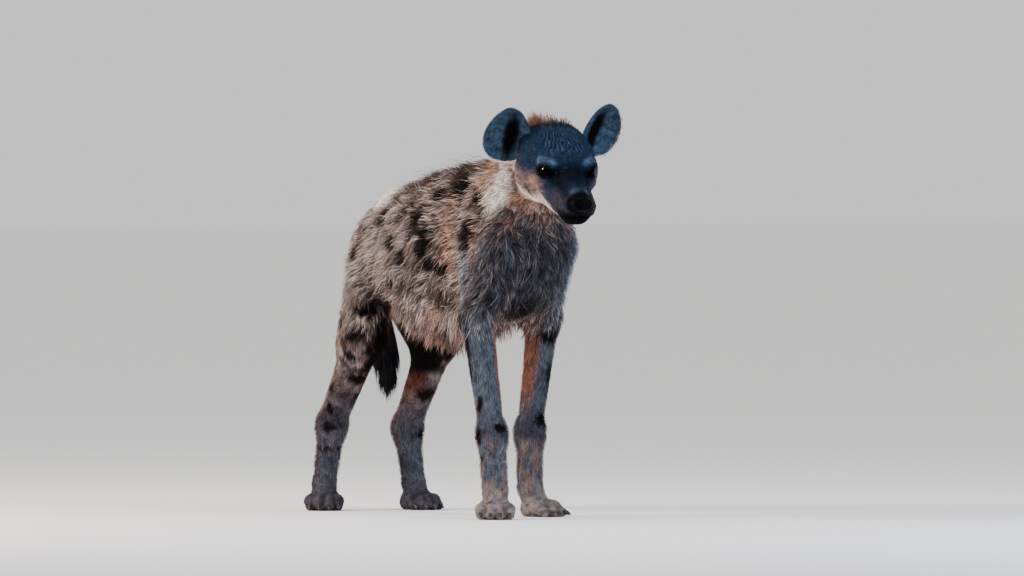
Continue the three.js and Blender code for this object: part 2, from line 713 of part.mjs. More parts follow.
// Moves a point along the field's slope to a height above its skin
function toHeight(field, point, height) {
  const p = point.clone();
  for (let i = 0; i < 3; i++) {
    const steep = slope(field, p);
    p.addScaledVector(steep, (height - field(p)) / steep.lengthSq());
  }
  return p;
}
const LOCK_WIDTH = lineThrough([
  [0, 0.4],
  [0.33, 1],
  [0.67, 0.76],
  [1, 0],
]);
const LOCK_RISE = lineThrough([
  [0, 0],
  [0.2, 0.6],
  [0.5, 0.84],
  [1, 1],
]);
function lock(field, root, lie, { long, wide, thick, rise, curl = 0, turn = 0, rows = 3, swell = 0 }) {
  const blade = new THREE.ConeGeometry(1, 1, 3, rows);
  const place = blade.attributes.position;
  const out = slope(field, root).normalize();
  const run = lie.clone().addScaledVector(out, -lie.dot(out)).normalize();
  const across = run.clone().cross(out);
  const middle = (t) => {
    const p = root.clone().addScaledVector(run, long * t).addScaledVector(across, curl * t * t);
    return toHeight(field, p, -ROOT_DEEP + (ROOT_DEEP + rise) * LOCK_RISE(t));
  };
  for (let i = 0; i < place.count; i++) {
    const t = place.getY(i) + 0.5;
    const rim = Math.max(1 - t, 1e-6);
    const center = middle(t);
    const ahead = middle(Math.min(t + 0.06, 1.06)).sub(middle(t - 0.06)).normalize();
    const side = ahead.clone().cross(slope(field, center)).normalize().applyAxisAngle(ahead, turn);
    const face = side.clone().cross(ahead);
    const half = LOCK_WIDTH(t) / 2;
    const [x, z] = [place.getX(i) / rim, place.getZ(i) / rim];
    center.addScaledVector(side, x * (half * wide + swell));
    center.addScaledVector(face, z * (half * thick + swell));
    place.setXYZ(i, center.x, center.y, center.z);
  }
  return solidOf(blade);
}

// Where a ray from the body's middle comes out of the flesh
const COAT_SPINE = new THREE.CatmullRomCurve3([
  V(-430, 0, 590),
  V(-200, 0, 600),
  V(60, 0, 600),
  V(240, 0, 636),
  V(340, -3, 692),
  V(450, -8, 756),
]);
function onCoat(u, angle) {
  const core = COAT_SPINE.getPointAt(u);
  const along = COAT_SPINE.getTangentAt(u);
  const a = THREE.MathUtils.degToRad(angle);
  const way = V(0, Math.sin(a), Math.cos(a));
  way.addScaledVector(along, -way.dot(along)).normalize();
  const root = core.clone().addScaledVector(way, runOut(bodyAndHead, core, way, 300));
  const fall = 0.12 + 0.75 * Math.sin(a) ** 2;
  return { root, lie: along.negate().addScaledVector(V(0, 0, -1), fall) };
}

const tufts = [];
const UNEVEN = 0.16; // how much the locks differ in size
const jitter = (size) =>
  Object.fromEntries(Object.entries(size).map(([k, v]) => [k, v * draw(1 - UNEVEN, 1 + UNEVEN)]));
const addTuft = (field, { root, lie }, size, curl, turn = 0) =>
  tufts.push({ field, root, lie, size: { ...jitter(size), curl: draw(-curl, curl), turn } });

// Flanks, shoulders and haunches: wide locks in rows, each row half a step on from the one before
const FLANK_ROWS = 7;
const FLANK_RUN = [0.02, 0.9];
const FLANK_ANGLES = [
  [27, 66, 106],
  [46, 86, 127],
];
const FLANK = { long: 144, wide: 78, thick: 11, rise: 15 };
for (let i = 0; i < FLANK_ROWS; i++) {
  const u = FLANK_RUN[0] + ((FLANK_RUN[1] - FLANK_RUN[0]) * (i + 0.5)) / FLANK_ROWS;
  const slim = 1 - 0.4 * ramp(u, 0.7, 1);
  for (const angle of FLANK_ANGLES[i % 2]) {
    for (const s of Object.values(sides)) {
      const place = onCoat(u + draw(-0.012, 0.012), s * (angle + draw(-5, 5)));
      addTuft(bodyAndHead, place, { ...FLANK, long: FLANK.long * slim, wide: FLANK.wide * slim }, 16);
    }
  }
}
// Mane: narrower, raised locks along the nape and the back
const MANE_ROWS = 14;
const MANE_RUN = [0.1, 0.98];
const MANE = { long: 98, wide: 44, thick: 15 };
for (let i = 0; i < MANE_ROWS; i++) {
  const u = MANE_RUN[0] + ((MANE_RUN[1] - MANE_RUN[0]) * (i + 0.5)) / MANE_ROWS;
  const rise = 6 + 7 * ramp(u, 0.35, 0.75);
  for (const angle of i % 2 ? [-13, 13] : [0]) {
    const place = onCoat(u, angle + draw(-4, 4));
    const turn = (angle < 0 ? -1 : 1) * draw(0.8, 1.2);
    addTuft(bodyAndHead, place, { ...MANE, rise }, 14, turn);
  }
}
// Throat, brisket and belly: a thin fringe
const FRINGE_AT = [0.2, 0.36, 0.5, 0.64, 0.76];
const FRINGE = { long: 76, wide: 44, thick: 9, rise: 14 };
for (const u of FRINGE_AT) addTuft(bodyAndHead, onCoat(u, 180 + draw(-14, 14)), FRINGE, 12);
// Crown: a tuft that stands up behind the brow
const CROWN_AT = [
  [-30, -20],
  [-34, -4],
  [-46, -30],
  [-48, -13],
  [-52, 4],
  [-64, -24],
  [-68, -6],
];
const CROWN = { long: 38, wide: 24, thick: 9, rise: 24 };
for (const [x, y] of CROWN_AT) {
  const root = toHeight(bodyAndHead, inHead(x, y, 44), 0);
  const lie = V(-0.9, (y + 13) * 0.011, 0.25).transformDirection(headTurn);
  addTuft(bodyAndHead, { root, lie }, CROWN, 5);
}
// Tail brush: tiers round its core, the last past its end
const brushLine = new THREE.CatmullRomCurve3(BRUSH.map((p) => V(...p)));
const BRUSH_TIERS = [0.08, 0.3, 0.5, 0.72];
const BRUSH_LOCK = { long: 100, wide: 36, thick: 10, rise: 12 };
const pastEnd = bone(BRUSH[2], moved(BRUSH[3], 0, 0, -120), BRUSH_CORE[2], BRUSH_CORE[3]);
const brushGuide = blend(20, tailBrush, pastEnd);
BRUSH_TIERS.forEach((u, i) => {
  const core = brushLine.getPoint(u);
  const along = brushLine.getTangent(u);
  for (const turn of [0, 1, 2]) {
    const a = ((turn + (i % 2) / 2) * 2 * Math.PI) / 3 + draw(-0.3, 0.3);
    const way = V(Math.cos(a), Math.sin(a), 0);
    way.addScaledVector(along, -way.dot(along)).normalize();
    const root = core.clone().addScaledVector(way, runOut(tailBrush, core, way, 60));
    addTuft(brushGuide, { root, lie: along }, BRUSH_LOCK, 7);
  }
});

// Each lock joins the part that its root stands in, shorter where it would meet another part
const apart = (a, b) => {
  const [p, q] = [a.boundingBox(), b.boundingBox()];
  return [0, 1, 2].some((k) => p.min[k] > q.max[k] || q.min[k] > p.max[k]);
};
const common = (a, b) => (apart(a, b) ? 0 : a.intersect(b).volume());
const SHORTER = [1, 0.8, 0.62, 0.46];
const SLIDES = [0, 18, -18, 34];
const TRIES = SHORTER.flatMap((shorter) => SLIDES.map((slide) => ({ shorter, slide })));
for (const { field, root, lie, size } of tufts) {
  TRIES.some(({ shorter, slide }) => {
    const from = toHeight(field, root.clone().addScaledVector(lie, slide / lie.length()), 0);
    const cut = { ...size, long: size.long * shorter, wide: size.wide * Math.sqrt(shorter) };
    const wider = lock(field, from, lie, { ...cut, swell: GAP * 1.6 });
    const met = [...parts].filter(([, part]) => common(wider, part.solid) > 0);
    if (met.length !== 1) return false;
    const [name, part] = met[0];
    const fused = part.solid.add(lock(field, from, lie, cut));
    if (fused.decompose().length > 1) return false;
    parts.set(name, { solid: fused, look: part.look });
    return true;
  });
}
for (const [name, { solid, look }] of parts) show(name, solid, look);

export default hyena;
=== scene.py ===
# %% [markdown]
# # A spotted hyena, standing
# A life-size hyena has three layers. Its solids are packed already and hold the size and the pose.
# Over them comes one skin without seams, and on the skin grow tens of thousands of small tufts of
# hair. The skin could be sculpted or grown with metaballs. Here it is a distance field, because a
# field gives the hair its height, its slope and its lie at any point. Lengths in the fields are
# millimetres in the animal's own frame, and every mesh ends in metres in the solids' frame.

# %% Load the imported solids
import math

import bmesh
import bpy
import numpy as np
from mathutils import Matrix, Vector
from mathutils.kdtree import KDTree


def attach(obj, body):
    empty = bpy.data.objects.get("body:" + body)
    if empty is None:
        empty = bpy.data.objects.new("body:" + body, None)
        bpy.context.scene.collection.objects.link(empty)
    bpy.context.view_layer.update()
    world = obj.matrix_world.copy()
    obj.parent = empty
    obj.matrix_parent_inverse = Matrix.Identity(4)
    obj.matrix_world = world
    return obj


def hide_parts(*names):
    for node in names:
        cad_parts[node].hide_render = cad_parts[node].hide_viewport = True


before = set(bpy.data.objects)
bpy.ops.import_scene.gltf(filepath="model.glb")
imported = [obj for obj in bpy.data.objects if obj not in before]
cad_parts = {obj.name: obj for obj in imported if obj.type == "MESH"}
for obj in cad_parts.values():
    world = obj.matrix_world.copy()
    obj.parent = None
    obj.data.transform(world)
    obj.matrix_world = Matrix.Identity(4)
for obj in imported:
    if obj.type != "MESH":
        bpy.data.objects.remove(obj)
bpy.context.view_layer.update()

draw = np.random.default_rng(7)
ANIMAL_TO_FRAME = np.array([-50.0, 12.0, 0.0])  # millimetres, from the animal's frame to the solids'


def to_metres(points):
    return (points + ANIMAL_TO_FRAME) / 1000


def to_animal(points):
    return points * 1000 - ANIMAL_TO_FRAME


# %% [markdown]
# ## Camera, floor and light
# The animal was seen from far away through a long lens, almost level with its chest, so the legs
# on both sides show nearly the same size. A camera 30 metres off with a very long lens does that.
# The floor is plain and pale. The warm light comes from behind the left of the picture and the
# cool one from the right, which is what parts the tan flank from the blue face.

# %% Helpers: put something into the scene, and aim it
def new_object(name, data):
    made = bpy.data.objects.new(name, data)
    bpy.context.collection.objects.link(made)
    return made


def stand_looking(made, place, way):
    """Puts the camera or a light at a place, so that it looks that way."""
    made.location = place
    made.rotation_mode = "QUATERNION"
    made.rotation_quaternion = way.to_track_quat("-Z", "Y")


# %% Camera
AZIMUTH, ELEVATION, FAR = 62.0, 0.8, 30.0
AIM = Vector((0.2612, -0.032, 0.502))
IMAGE_WIDE, FOCAL_PIXELS = 1024, 13800  # the photograph's width, and the lens in its pixels
turn, rise = math.radians(AZIMUTH), math.radians(ELEVATION)
level = math.cos(rise)
towards_camera = Vector((math.sin(turn) * level, -math.cos(turn) * level, math.sin(rise)))
camera_data = bpy.data.cameras.new("camera")
camera_data.sensor_width = 36.0
camera_data.lens = FOCAL_PIXELS * camera_data.sensor_width / IMAGE_WIDE
camera_data.clip_end = 500
camera = new_object("camera", camera_data)
stand_looking(camera, AIM + towards_camera * FAR, -towards_camera)
bpy.context.scene.camera = camera
print("camera lens", round(camera_data.lens), "mm")


# %% Helpers: node materials and colours
def set_sockets(node, sockets):
    for socket, value in sockets.items():
        node.inputs[socket.replace("_", " ")].default_value = value


def new_material(name, **sockets):
    material = bpy.data.materials.new(name)
    material.use_nodes = True
    shader = material.node_tree.nodes["Principled BSDF"]
    set_sockets(shader, sockets)
    return material, material.node_tree, shader


def rgb(code):
    """A colour written as in a web page, as linear numbers."""
    c = np.array([int(code[i : i + 2], 16) for i in (1, 3, 5)]) / 255
    return np.where(c <= 0.04045, c / 12.92, ((c + 0.055) / 1.055) ** 2.4)


def rgba(code):
    return (*rgb(code), 1.0)


# %% Floor
def object_from(name, bm):
    mesh = bpy.data.meshes.new(name)
    bm.to_mesh(mesh)
    bm.free()
    return new_object(name, mesh)


FLOOR_HALF = 60  # metres
floor_bm = bmesh.new()
bmesh.ops.create_grid(floor_bm, x_segments=1, y_segments=1, size=FLOOR_HALF)
floor = object_from("floor", floor_bm)
floor_material, _, _ = new_material("pale floor", Base_Color=rgba("#fbfaf8"), Roughness=0.9)
floor.data.materials.append(floor_material)
print("floor", 2 * FLOOR_HALF, "metres wide")

# %% Lights
ROOM_LIGHT = 0.95
world = bpy.data.worlds.new("pale room")
world.use_nodes = True
set_sockets(world.node_tree.nodes["Background"], {"Color": rgba("#f4f4f4"), "Strength": ROOM_LIGHT})
bpy.context.scene.world = world


def soft_light(name, place, aim, size, power, colour):
    data = bpy.data.lights.new(name, "AREA")
    data.size, data.energy, data.color = size, power, rgb(colour)
    light = new_object(name, data)
    stand_looking(light, place, Vector(aim) - Vector(place))
    return light


lamps = [
    soft_light("warm_light", (-1.2, -3.8, 2.3), (0, 0, 0.5), 1.8, 270, "#ffeee2"),
    soft_light("cool_light", (3.6, 1.6, 2.4), (0.3, 0, 0.5), 2.0, 135, "#c4dcff"),
    soft_light("top_light", (0.2, -0.4, 4.2), (0, 0, 0.5), 2.4, 36, "#fff6ec"),
]
print(len(lamps), "lights")

# %% [markdown]
# ## The body as a field
# A field says for every point how far it is from the skin, with a minus sign inside. Balls and
# tapered bones are blended with a smooth minimum, as clay is pressed on clay. Each field also
# keeps a list of rough balls that lie in it, because the first coarse mesh is made from those.


# %% A ball and a bone
def lengths_of(v):
    return np.linalg.norm(v, axis=1)


def ball(center, radii, turn=0.0):
    """An ellipsoid, turned about the axis that runs across the body."""
    center, radii = np.array(center, float), np.array(radii, float)
    cos, sin = math.cos(math.radians(turn)), math.sin(math.radians(turn))
    tilt = np.array([[cos, 0, sin], [0, 1, 0], [-sin, 0, cos]])

    def field(p):
        q = (p - center) @ tilt.T
        far = lengths_of(q / radii)
        return far * (far - 1) / (lengths_of(q / radii**2) + 1e-9)

    field.rough = [(center, radii, tilt.T)]
    return field


def bone(a, b, ra, rb):
    """A rod with round ends, ra thick at a and rb thick at b."""
    a, b = np.array(a, float), np.array(b, float)
    along = b - a
    long2 = along @ along

    def field(p):
        d = p - a
        t = np.clip(d @ along / long2, 0, 1)
        return lengths_of(d - t[:, None] * along) - (ra + (rb - ra) * t)

    steps = 2 + int(math.sqrt(long2) / (0.5 * min(ra, rb)))
    places = np.linspace(0, 1, steps)
    field.rough = [(a + along * t, np.full(3, ra + (rb - ra) * t), np.eye(3)) for t in places]
    return field


# %% How fields blend
def smooth_min(a, b, k):
    """The smaller of two distances, rounded where they differ by less than k."""
    h = np.maximum(k - np.abs(a - b), 0) / k
    return np.minimum(a, b) - h * h * k / 4


FAR_OFF, NEAR = 400.0, 76.0  # a part further off than NEAR changes nothing


def box_round(rough):
    low = np.min([c - max(r) for c, r, _ in rough], axis=0)
    high = np.max([c + max(r) for c, r, _ in rough], axis=0)
    return low - NEAR, high + NEAR


def blend(k, *fields):
    """One field of many, each worked out only near its own rough balls."""
    boxes = [box_round(f.rough) for f in fields]

    def field(p):
        d = np.full(len(p), FAR_OFF)
        for f, (low, high) in zip(fields, boxes):
            here = np.nonzero(((p > low) & (p < high)).all(axis=1))[0]
            if len(here):
                d[here] = smooth_min(d[here], f(p[here]), k)
        return d

    field.rough = [r for f in fields for r in f.rough]
    return field


# %% Soft steps, and the slope of a field
def ramp(x, low, high):
    """0 below low, 1 above high, and a smooth rise between them."""
    t = np.clip((x - low) / (high - low), 0, 1)
    return t * t * (3 - 2 * t)


def bell(x, width):
    """1 where x is 0, falling to nothing past about the width."""
    return np.exp(-((x / width) ** 2))


def moved(p, x, y, z):
    return [p[0] + x, p[1] + y, p[2] + z]


CORNERS = np.array([[1, 1, 1], [1, -1, -1], [-1, 1, -1], [-1, -1, 1]], float)


def measure(field, p):
    """The field's value and its slope, from four corners 1 mm off."""
    values = [field(p + c) for c in CORNERS]
    return sum(values) / 4, sum(v[:, None] * c for v, c in zip(values, CORNERS)) / 4


def unit(v):
    return v / np.maximum(np.linalg.norm(v, axis=1, keepdims=True), 1e-9)


# %% Trunk: its outline along the body
TRUNK = np.array([  # along X, back line, belly line, half width, height where it is widest
    [-470, 606, 540, 34, 576], [-430, 650, 516, 54, 570], [-400, 671, 500, 68, 562],
    [-350, 694, 484, 88, 552], [-260, 720, 458, 110, 550], [-180, 738, 430, 118, 545],
    [-105, 752, 400, 126, 560], [-30, 764, 385, 130, 570], [60, 774, 394, 128, 580],
    [150, 782, 410, 118, 590], [230, 786, 430, 104, 600], [310, 770, 468, 88, 610],
    [360, 736, 520, 72, 615],
], float)
TRUNK_ENDS, END_ROUND = (-462, 350), 90


def line_through(xs, ys):
    """A smooth curve through the stations."""
    last = len(xs) - 1
    ends = [(max(i - 1, 0), min(i + 1, last)) for i in range(last + 1)]
    slopes = np.array([(ys[b] - ys[a]) / (xs[b] - xs[a]) for a, b in ends])

    def at(x):
        i = np.clip(np.searchsorted(xs, x) - 1, 0, last - 1)
        w = xs[i + 1] - xs[i]
        t = np.clip((x - xs[i]) / w, 0, 1)
        s = 1 - t
        start = ys[i] * (1 + 2 * t) * s * s + slopes[i] * w * t * s * s
        return start + ys[i + 1] * t * t * (3 - 2 * t) - slopes[i + 1] * w * t * t * s

    return at


trunk_lines = [line_through(TRUNK[:, 0], TRUNK[:, k]) for k in (1, 2, 3, 4)]
back_line, belly_line, half_width, widest_at = trunk_lines


def barrel(p):
    x, middle = p[:, 0], widest_at(p[:, 0])
    deep = np.where(p[:, 2] > middle, back_line(x) - middle, middle - belly_line(x))
    wide = half_width(x)
    q = np.hypot(p[:, 1] / wide, (p[:, 2] - middle) / deep)
    inside = (q - 1) * np.minimum(wide, deep)
    cut = np.minimum(x - TRUNK_ENDS[0], TRUNK_ENDS[1] - x)
    return -smooth_min(-inside, cut, END_ROUND)


stations = np.linspace(-410, 300, 15)
barrel.rough = [
    (np.array([x, 0, (back_line(x) + belly_line(x)) / 2]),
     np.array([60, half_width(x) * 0.9, (back_line(x) - belly_line(x)) * 0.45]), np.eye(3))
    for x in stations
]
trunk = blend(50, barrel, ball([285, 0, 590], [90, 78, 125]))
neck = blend(50, bone([425, -8, 812], [235, 0, 700], 58, 78), bone([420, -8, 752], [270, 0, 610], 58, 92))
print("trunk from", len(stations), "rough balls")

# %% Head: skull, muzzle and brow in the head's own frame
HEAD_AT, HEAD_NOD, HEAD_TURN = np.array([450.0, -10, 800]), 25, -9
EYE_AT, EYE_R, LID = np.array([85.0, 49, -5]), 13.0, 3.4
NOSE_AT = np.array([200.0, 0, -32])
FACE_COAT = 2.0  # how deep the face's short hair lies over its skin

nod, yaw = math.radians(HEAD_NOD), math.radians(HEAD_TURN)
nod_matrix = np.array([[math.cos(nod), 0, math.sin(nod)], [0, 1, 0], [-math.sin(nod), 0, math.cos(nod)]])
yaw_matrix = np.array([[math.cos(yaw), -math.sin(yaw), 0], [math.sin(yaw), math.cos(yaw), 0], [0, 0, 1]])
HEAD_AXES = yaw_matrix @ nod_matrix
HEAD_REACH = 250  # nothing further than this from the middle of the head is part of it


def to_head(p):
    return (p - HEAD_AT) @ HEAD_AXES


def from_head(q):
    return q @ HEAD_AXES.T + HEAD_AT


skull = blend(
    24,
    ball([-18, 0, -8], [72, 64, 52]),
    ball([0, 38, 6], [62, 40, 36]),
    ball([50, 0, 2], [60, 52, 34], -14),
    bone([86, 52, -30], [18, 66, -28], 19, 27),
    ball([16, 54, -52], [50, 34, 42], 10),
    bone([15, 0, -62], [-70, 0, -56], 42, 58),
)
muzzle = blend(
    16,
    bone([70, 0, -6], [186, 0, -27], 34, 21),
    bone([86, 22, -44], [176, 18, -49], 31, 26),
    bone([40, 30, -76], [166, 10, -72], 24, 19),
    ball([174, 0, -75], [21, 25, 16]),
)
brow = ball([78, 42, 10], [28, 24, 14], -14)
eye_dome = ball(EYE_AT, [EYE_R + LID] * 3)
head_shape = blend(14, blend(24, skull, muzzle), brow)


def mirrored(q):
    return np.stack([q[:, 0], np.abs(q[:, 1]), q[:, 2]], axis=1)


def lidded(q):
    """The head with its lids closed over the eyes, in the head's frame."""
    return smooth_min(head_shape(q) + FACE_COAT, eye_dome(q), 5)


HEAD_MIDDLE = from_head(np.array([45.0, 0, -20]))


def from_head_middle(p):
    return lengths_of(p - HEAD_MIDDLE)


def head(p):
    d = np.full(len(p), FAR_OFF)
    here = np.nonzero(from_head_middle(p) < HEAD_REACH)[0]
    q = mirrored(to_head(p[here]))
    d[here] = lidded(q)
    return d


head.rough = []
for center, radii, axes in head_shape.rough:
    for side in (1, -1):
        flip = np.array([1, side, 1])
        head.rough.append((from_head((center * flip)[None])[0], radii, HEAD_AXES @ (axes * flip[:, None])))
print("head from", len(head.rough), "rough balls")

# %% Where the joints of the legs are
def limb_plan(root, middle, low, ankle, yaw):
    """The joints of a leg from the top down, and which way its foot points."""
    return dict(root=root, middle=middle, low=low, ankle=ankle, yaw=yaw)


FORE = {
    "right": limb_plan([318, -70, 590], [250, -96, 430], [300, -88, 188], [301, -80, 62], -28),
    "left": limb_plan([300, 68, 590], [196, 94, 430], [160, 80, 188], [176, 72, 62], 26),
}
HIND = {
    "right": limb_plan([-345, -45, 535], [-264, -110, 380], [-424, -106, 188], [-456, -108, 60], -28),
    "left": limb_plan([-350, 45, 535], [-322, 104, 375], [-446, 94, 180], [-408, 90, 60], -2),
}
SIDES = {"left": 1, "right": -1}
TOE_SPREAD = [-29, -10, 10, 29]


# %% Legs
def fore_leg(side):
    s, limb = SIDES[side], FORE[side]
    root, elbow, wrist, ankle = limb["root"], limb["middle"], limb["low"], limb["ankle"]
    return blend(
        22,
        ball(moved(root, -55, s * -10, 75), [72, 34, 105], -18),
        bone(root, elbow, 50, 38),
        bone(moved(root, -100, s * 2, 10), moved(elbow, -14, 0, 14), 46, 30),
        bone(elbow, wrist, 37, 25),
        ball(moved(wrist, 2, 0, -8), [28, 27, 32]),
        bone(wrist, ankle, 28, 28),
    )


def hind_leg(side):
    s, limb = SIDES[side], HIND[side]
    hip, knee, hock, ankle = limb["root"], limb["middle"], limb["low"], limb["ankle"]
    return blend(
        24,
        bone(hip, knee, 60, 48),
        bone(moved(hip, -28, s * 2, -50), moved(knee, -68, 0, -10), 50, 32),
        bone(knee, hock, 42, 25),
        bone(moved(knee, -64, 0, -34), moved(hock, -34, 0, 12), 20, 12),
        ball(hock, [28, 26, 30]),
        bone(hock, ankle, 28, 25),
    )


# %% Feet, and the legs on them
def foot_frame(limb):
    """Turns a place given forward, across and up from the ankle into the animal's frame."""
    a = math.radians(limb["yaw"])
    cos, sin = math.cos(a), math.sin(a)
    x0, y0 = limb["ankle"][:2]
    return lambda x, y, z: [x0 + x * cos - y * sin, y0 + x * sin + y * cos, z]


def toe_reach(y):
    """How far forward a toe ends: the middle two reach furthest."""
    return 76 - 0.013 * y * y


def foot(limb):
    at = foot_frame(limb)
    pad = [bone(at(2, 0, 58), at(20, 0, 26), 27, 26)]
    pad += [bone(at(12, y, 17), at(34, y * 19 / 17, 15), 21, 18) for y in (-17, 17)]
    toes = []
    for y in TOE_SPREAD:
        reach = toe_reach(y)
        knuckle = at(reach - 22, y, 21)
        back_half = bone(at(22, y * 0.8, 22), knuckle, 16, 13.5)
        toes.append(blend(10, back_half, bone(knuckle, at(reach, y * 1.06, 9.5), 13.5, 11)))
    return blend(6, blend(16, *pad), *toes)


limbs = [(FORE[s], fore_leg(s)) for s in SIDES] + [(HIND[s], hind_leg(s)) for s in SIDES]
legs = [blend(8, leg, foot(limb)) for limb, leg in limbs]
print(len(legs), "legs")

# %% Tail, and the outline of the rest out to the tips of the hair
def chain(k, points, radii):
    """Bones end to end through the points."""
    stops = list(zip(points, radii))
    return blend(k, *(bone(a, b, ra, rb) for (a, ra), (b, rb) in zip(stops[:-1], stops[1:])))


dock = chain(20, [[-438, 0, 612], [-482, 8, 580], [-499, 36, 505], [-500, 60, 430]], [30, 24, 19, 12])
brush_core = chain(24, [[-499, 38, 498], [-501, 68, 410], [-499, 74, 325], [-501, 66, 262]], [14, 12, 9, 4])
outline = blend(34, blend(60, trunk, neck), *legs)
tail = blend(20, dock, brush_core)

# %% The coat's depth, and the skin under it
BODY_COAT, CREST_COAT, LEG_COAT, FOOT_COAT = 12.0, 9.0, 3.5, 0.6


def coat_depth(p):
    """How far the tips of the hair stand over the skin of the body."""
    x, y, z = p.T
    crest = bell(y, 44) * ramp(x, -380, -100) * ramp(z, 660, 730)
    deep = FOOT_COAT + (LEG_COAT - FOOT_COAT) * ramp(z, 230, 380)
    return deep + (BODY_COAT - LEG_COAT) * ramp(z, 380, 520) + CREST_COAT * crest


def skin(p):
    body = smooth_min(outline(p) + coat_depth(p), tail(p) + 2, 22)
    return smooth_min(body, head(p), 34)


print("field at the middle of the chest", round(float(skin(np.array([[200.0, 0, 600]]))[0])))

# %% [markdown]
# ## One skin without seams
# The rough balls are joined, and a voxel remesh makes one even, closed mesh of them. Every vertex
# then slides down the slope of the field until it lies on the skin. The edges are halved where the
# form is fine: once on the head and feet, again on the face, and once more round the eyes and on
# the folds of the forehead. The new vertices slide onto the field too.


# %% The rough balls, remeshed
VOXEL = 0.009  # metres
ROUGH_SIZE = 0.96  # the rough balls are a little smaller than the form
rough_bm = bmesh.new()
for center, radii, axes in outline.rough + tail.rough + head.rough:
    shape = Matrix((axes * radii * ROUGH_SIZE / 1000).tolist()).to_4x4()
    place = Matrix.Translation(to_metres(center)) @ shape
    bmesh.ops.create_icosphere(rough_bm, subdivisions=2, radius=1.0, matrix=place)
bmesh.ops.recalc_face_normals(rough_bm, faces=rough_bm.faces)
rough = object_from("rough body", rough_bm)
remesh = rough.modifiers.new("remesh", "REMESH")
remesh.mode, remesh.voxel_size, remesh.use_smooth_shade = "VOXEL", VOXEL, True
seen = bpy.context.evaluated_depsgraph_get()
even_mesh = bpy.data.meshes.new_from_object(rough.evaluated_get(seen))
bpy.data.objects.remove(rough)
print("remeshed", len(even_mesh.vertices), "vertices")


# %% Helpers: the vertices of a mesh, and how they settle on the field
def settle(field, p, steps, most=8.0):
    """Slides points down the field's slope, at most 8 mm a step."""
    for _ in range(steps):
        value, g = measure(field, p)
        move = -value[:, None] * g / np.maximum((g * g).sum(axis=1, keepdims=True), 0.1)
        far = np.linalg.norm(move, axis=1, keepdims=True)
        p = p + move * np.minimum(1, most / np.maximum(far, 1e-9))
    return p


def points_of(bm):
    return np.array([v.co for v in bm.verts])


def places(bm):
    """Where the vertices are, in the animal's frame."""
    return to_animal(points_of(bm))


def set_coordinates(bm, p):
    for v, co in zip(bm.verts, to_metres(p).tolist()):
        v.co = co


# %% Where the mesh is finer
def refine(bm, chosen):
    """Halves the edges of the faces whose middle is chosen."""
    middles = to_animal(np.array([f.calc_center_median() for f in bm.faces]))
    wanted = chosen(middles)
    edges = {e for f, take in zip(bm.faces, wanted) if take for e in f.edges}
    bmesh.ops.subdivide_edges(bm, edges=list(edges), cuts=1, use_grid_fill=True)
    bmesh.ops.triangulate(bm, faces=[f for f in bm.faces if len(f.verts) > 4])
    bm.verts.index_update()


def near_head(p):
    return to_head(p)[:, 0] > -40


def head_or_feet(p):
    return near_head(p) | (p[:, 2] < 64)


def face(p):
    q = to_head(p)
    x, y, z = mirrored(q).T
    return (x > 34) & (y < 74) | (x > -42) & (y < 56) & (z > 12)


def eyes_and_folds(p):
    q = mirrored(to_head(p))
    x, y, z = q.T
    at_eye = lengths_of(q - (EYE_AT + [6, 4, 0])) < 27
    return at_eye | (x > -30) & (x < 84) & (y < 44) & (z > 16)


# %% Settle the skin and refine it
skin_bm = bmesh.new()
skin_bm.from_mesh(even_mesh)
set_coordinates(skin_bm, settle(skin, places(skin_bm), steps=3))
all_axes = dict(use_axis_x=True, use_axis_y=True, use_axis_z=True)
bmesh.ops.smooth_vert(skin_bm, verts=skin_bm.verts, factor=0.5, **all_axes)
set_coordinates(skin_bm, settle(skin, places(skin_bm), steps=1))
for chosen in (head_or_feet, face, eyes_and_folds):
    settled = len(skin_bm.verts)
    refine(skin_bm, chosen)
    p = places(skin_bm)
    p[settled:] = settle(skin, p[settled:], steps=2)
    set_coordinates(skin_bm, p)
    print("skin", len(skin_bm.faces), "faces")

# %% [markdown]
# ## Folds of the face
# The hyena's forehead is drawn into fine folds that fan out from the crown and run down the bridge
# of the nose. The mouth is one long line with a darker lip. These are shallow, so each is a small
# push of the skin along its own normal. The eye lies in an almond opening between two lids: there
# the skin is pushed straight back along the eye's own line of sight until it meets the opening.

# %% The lines of the face
MOUTH = np.array([  # the line of the mouth: forward and height in the head's frame
    [64, -54], [78, -62], [100, -70], [120, -76], [140, -79], [160, -79], [176, -74], [190, -66], [240, -60],
], float)


def forehead_folds(q):
    """1 on the ridges, -1 in the furrows that fan out from the crown, 0 off the forehead."""
    x, y, z = q.T
    wander = 0.9 * np.sin(x * 0.1 + 0.05 * y) + 0.6 * np.sin(x * 0.23 - 0.1 * y)
    wander += 0.4 * np.sin(y * 0.5 + x * 0.07)
    fan = np.arctan2(y, x + 44) * 62 + 1.5 * wander * np.sign(y)
    low_end = 84 + 14 * bell(y, 9) + 8 * np.sin(y * 0.31)
    on = ramp(x, -40, -26) * ramp(low_end - x, 0, 34) * ramp(56 - np.abs(y), 0, 22) * ramp(z, 4, 18)
    uneven = 0.62 + 0.38 * np.sin(x * 0.13 + y * 0.21) * np.sin(y * 0.37 - x * 0.05)
    return np.sin(fan) * on * uneven


cheek_crease = bone([50, 76, -54], [50, 58, -86], 1, 1)  # the cheek's muscle ends in a crease


def mouth_height(x):
    return np.interp(x, MOUTH[:, 0], MOUTH[:, 1])


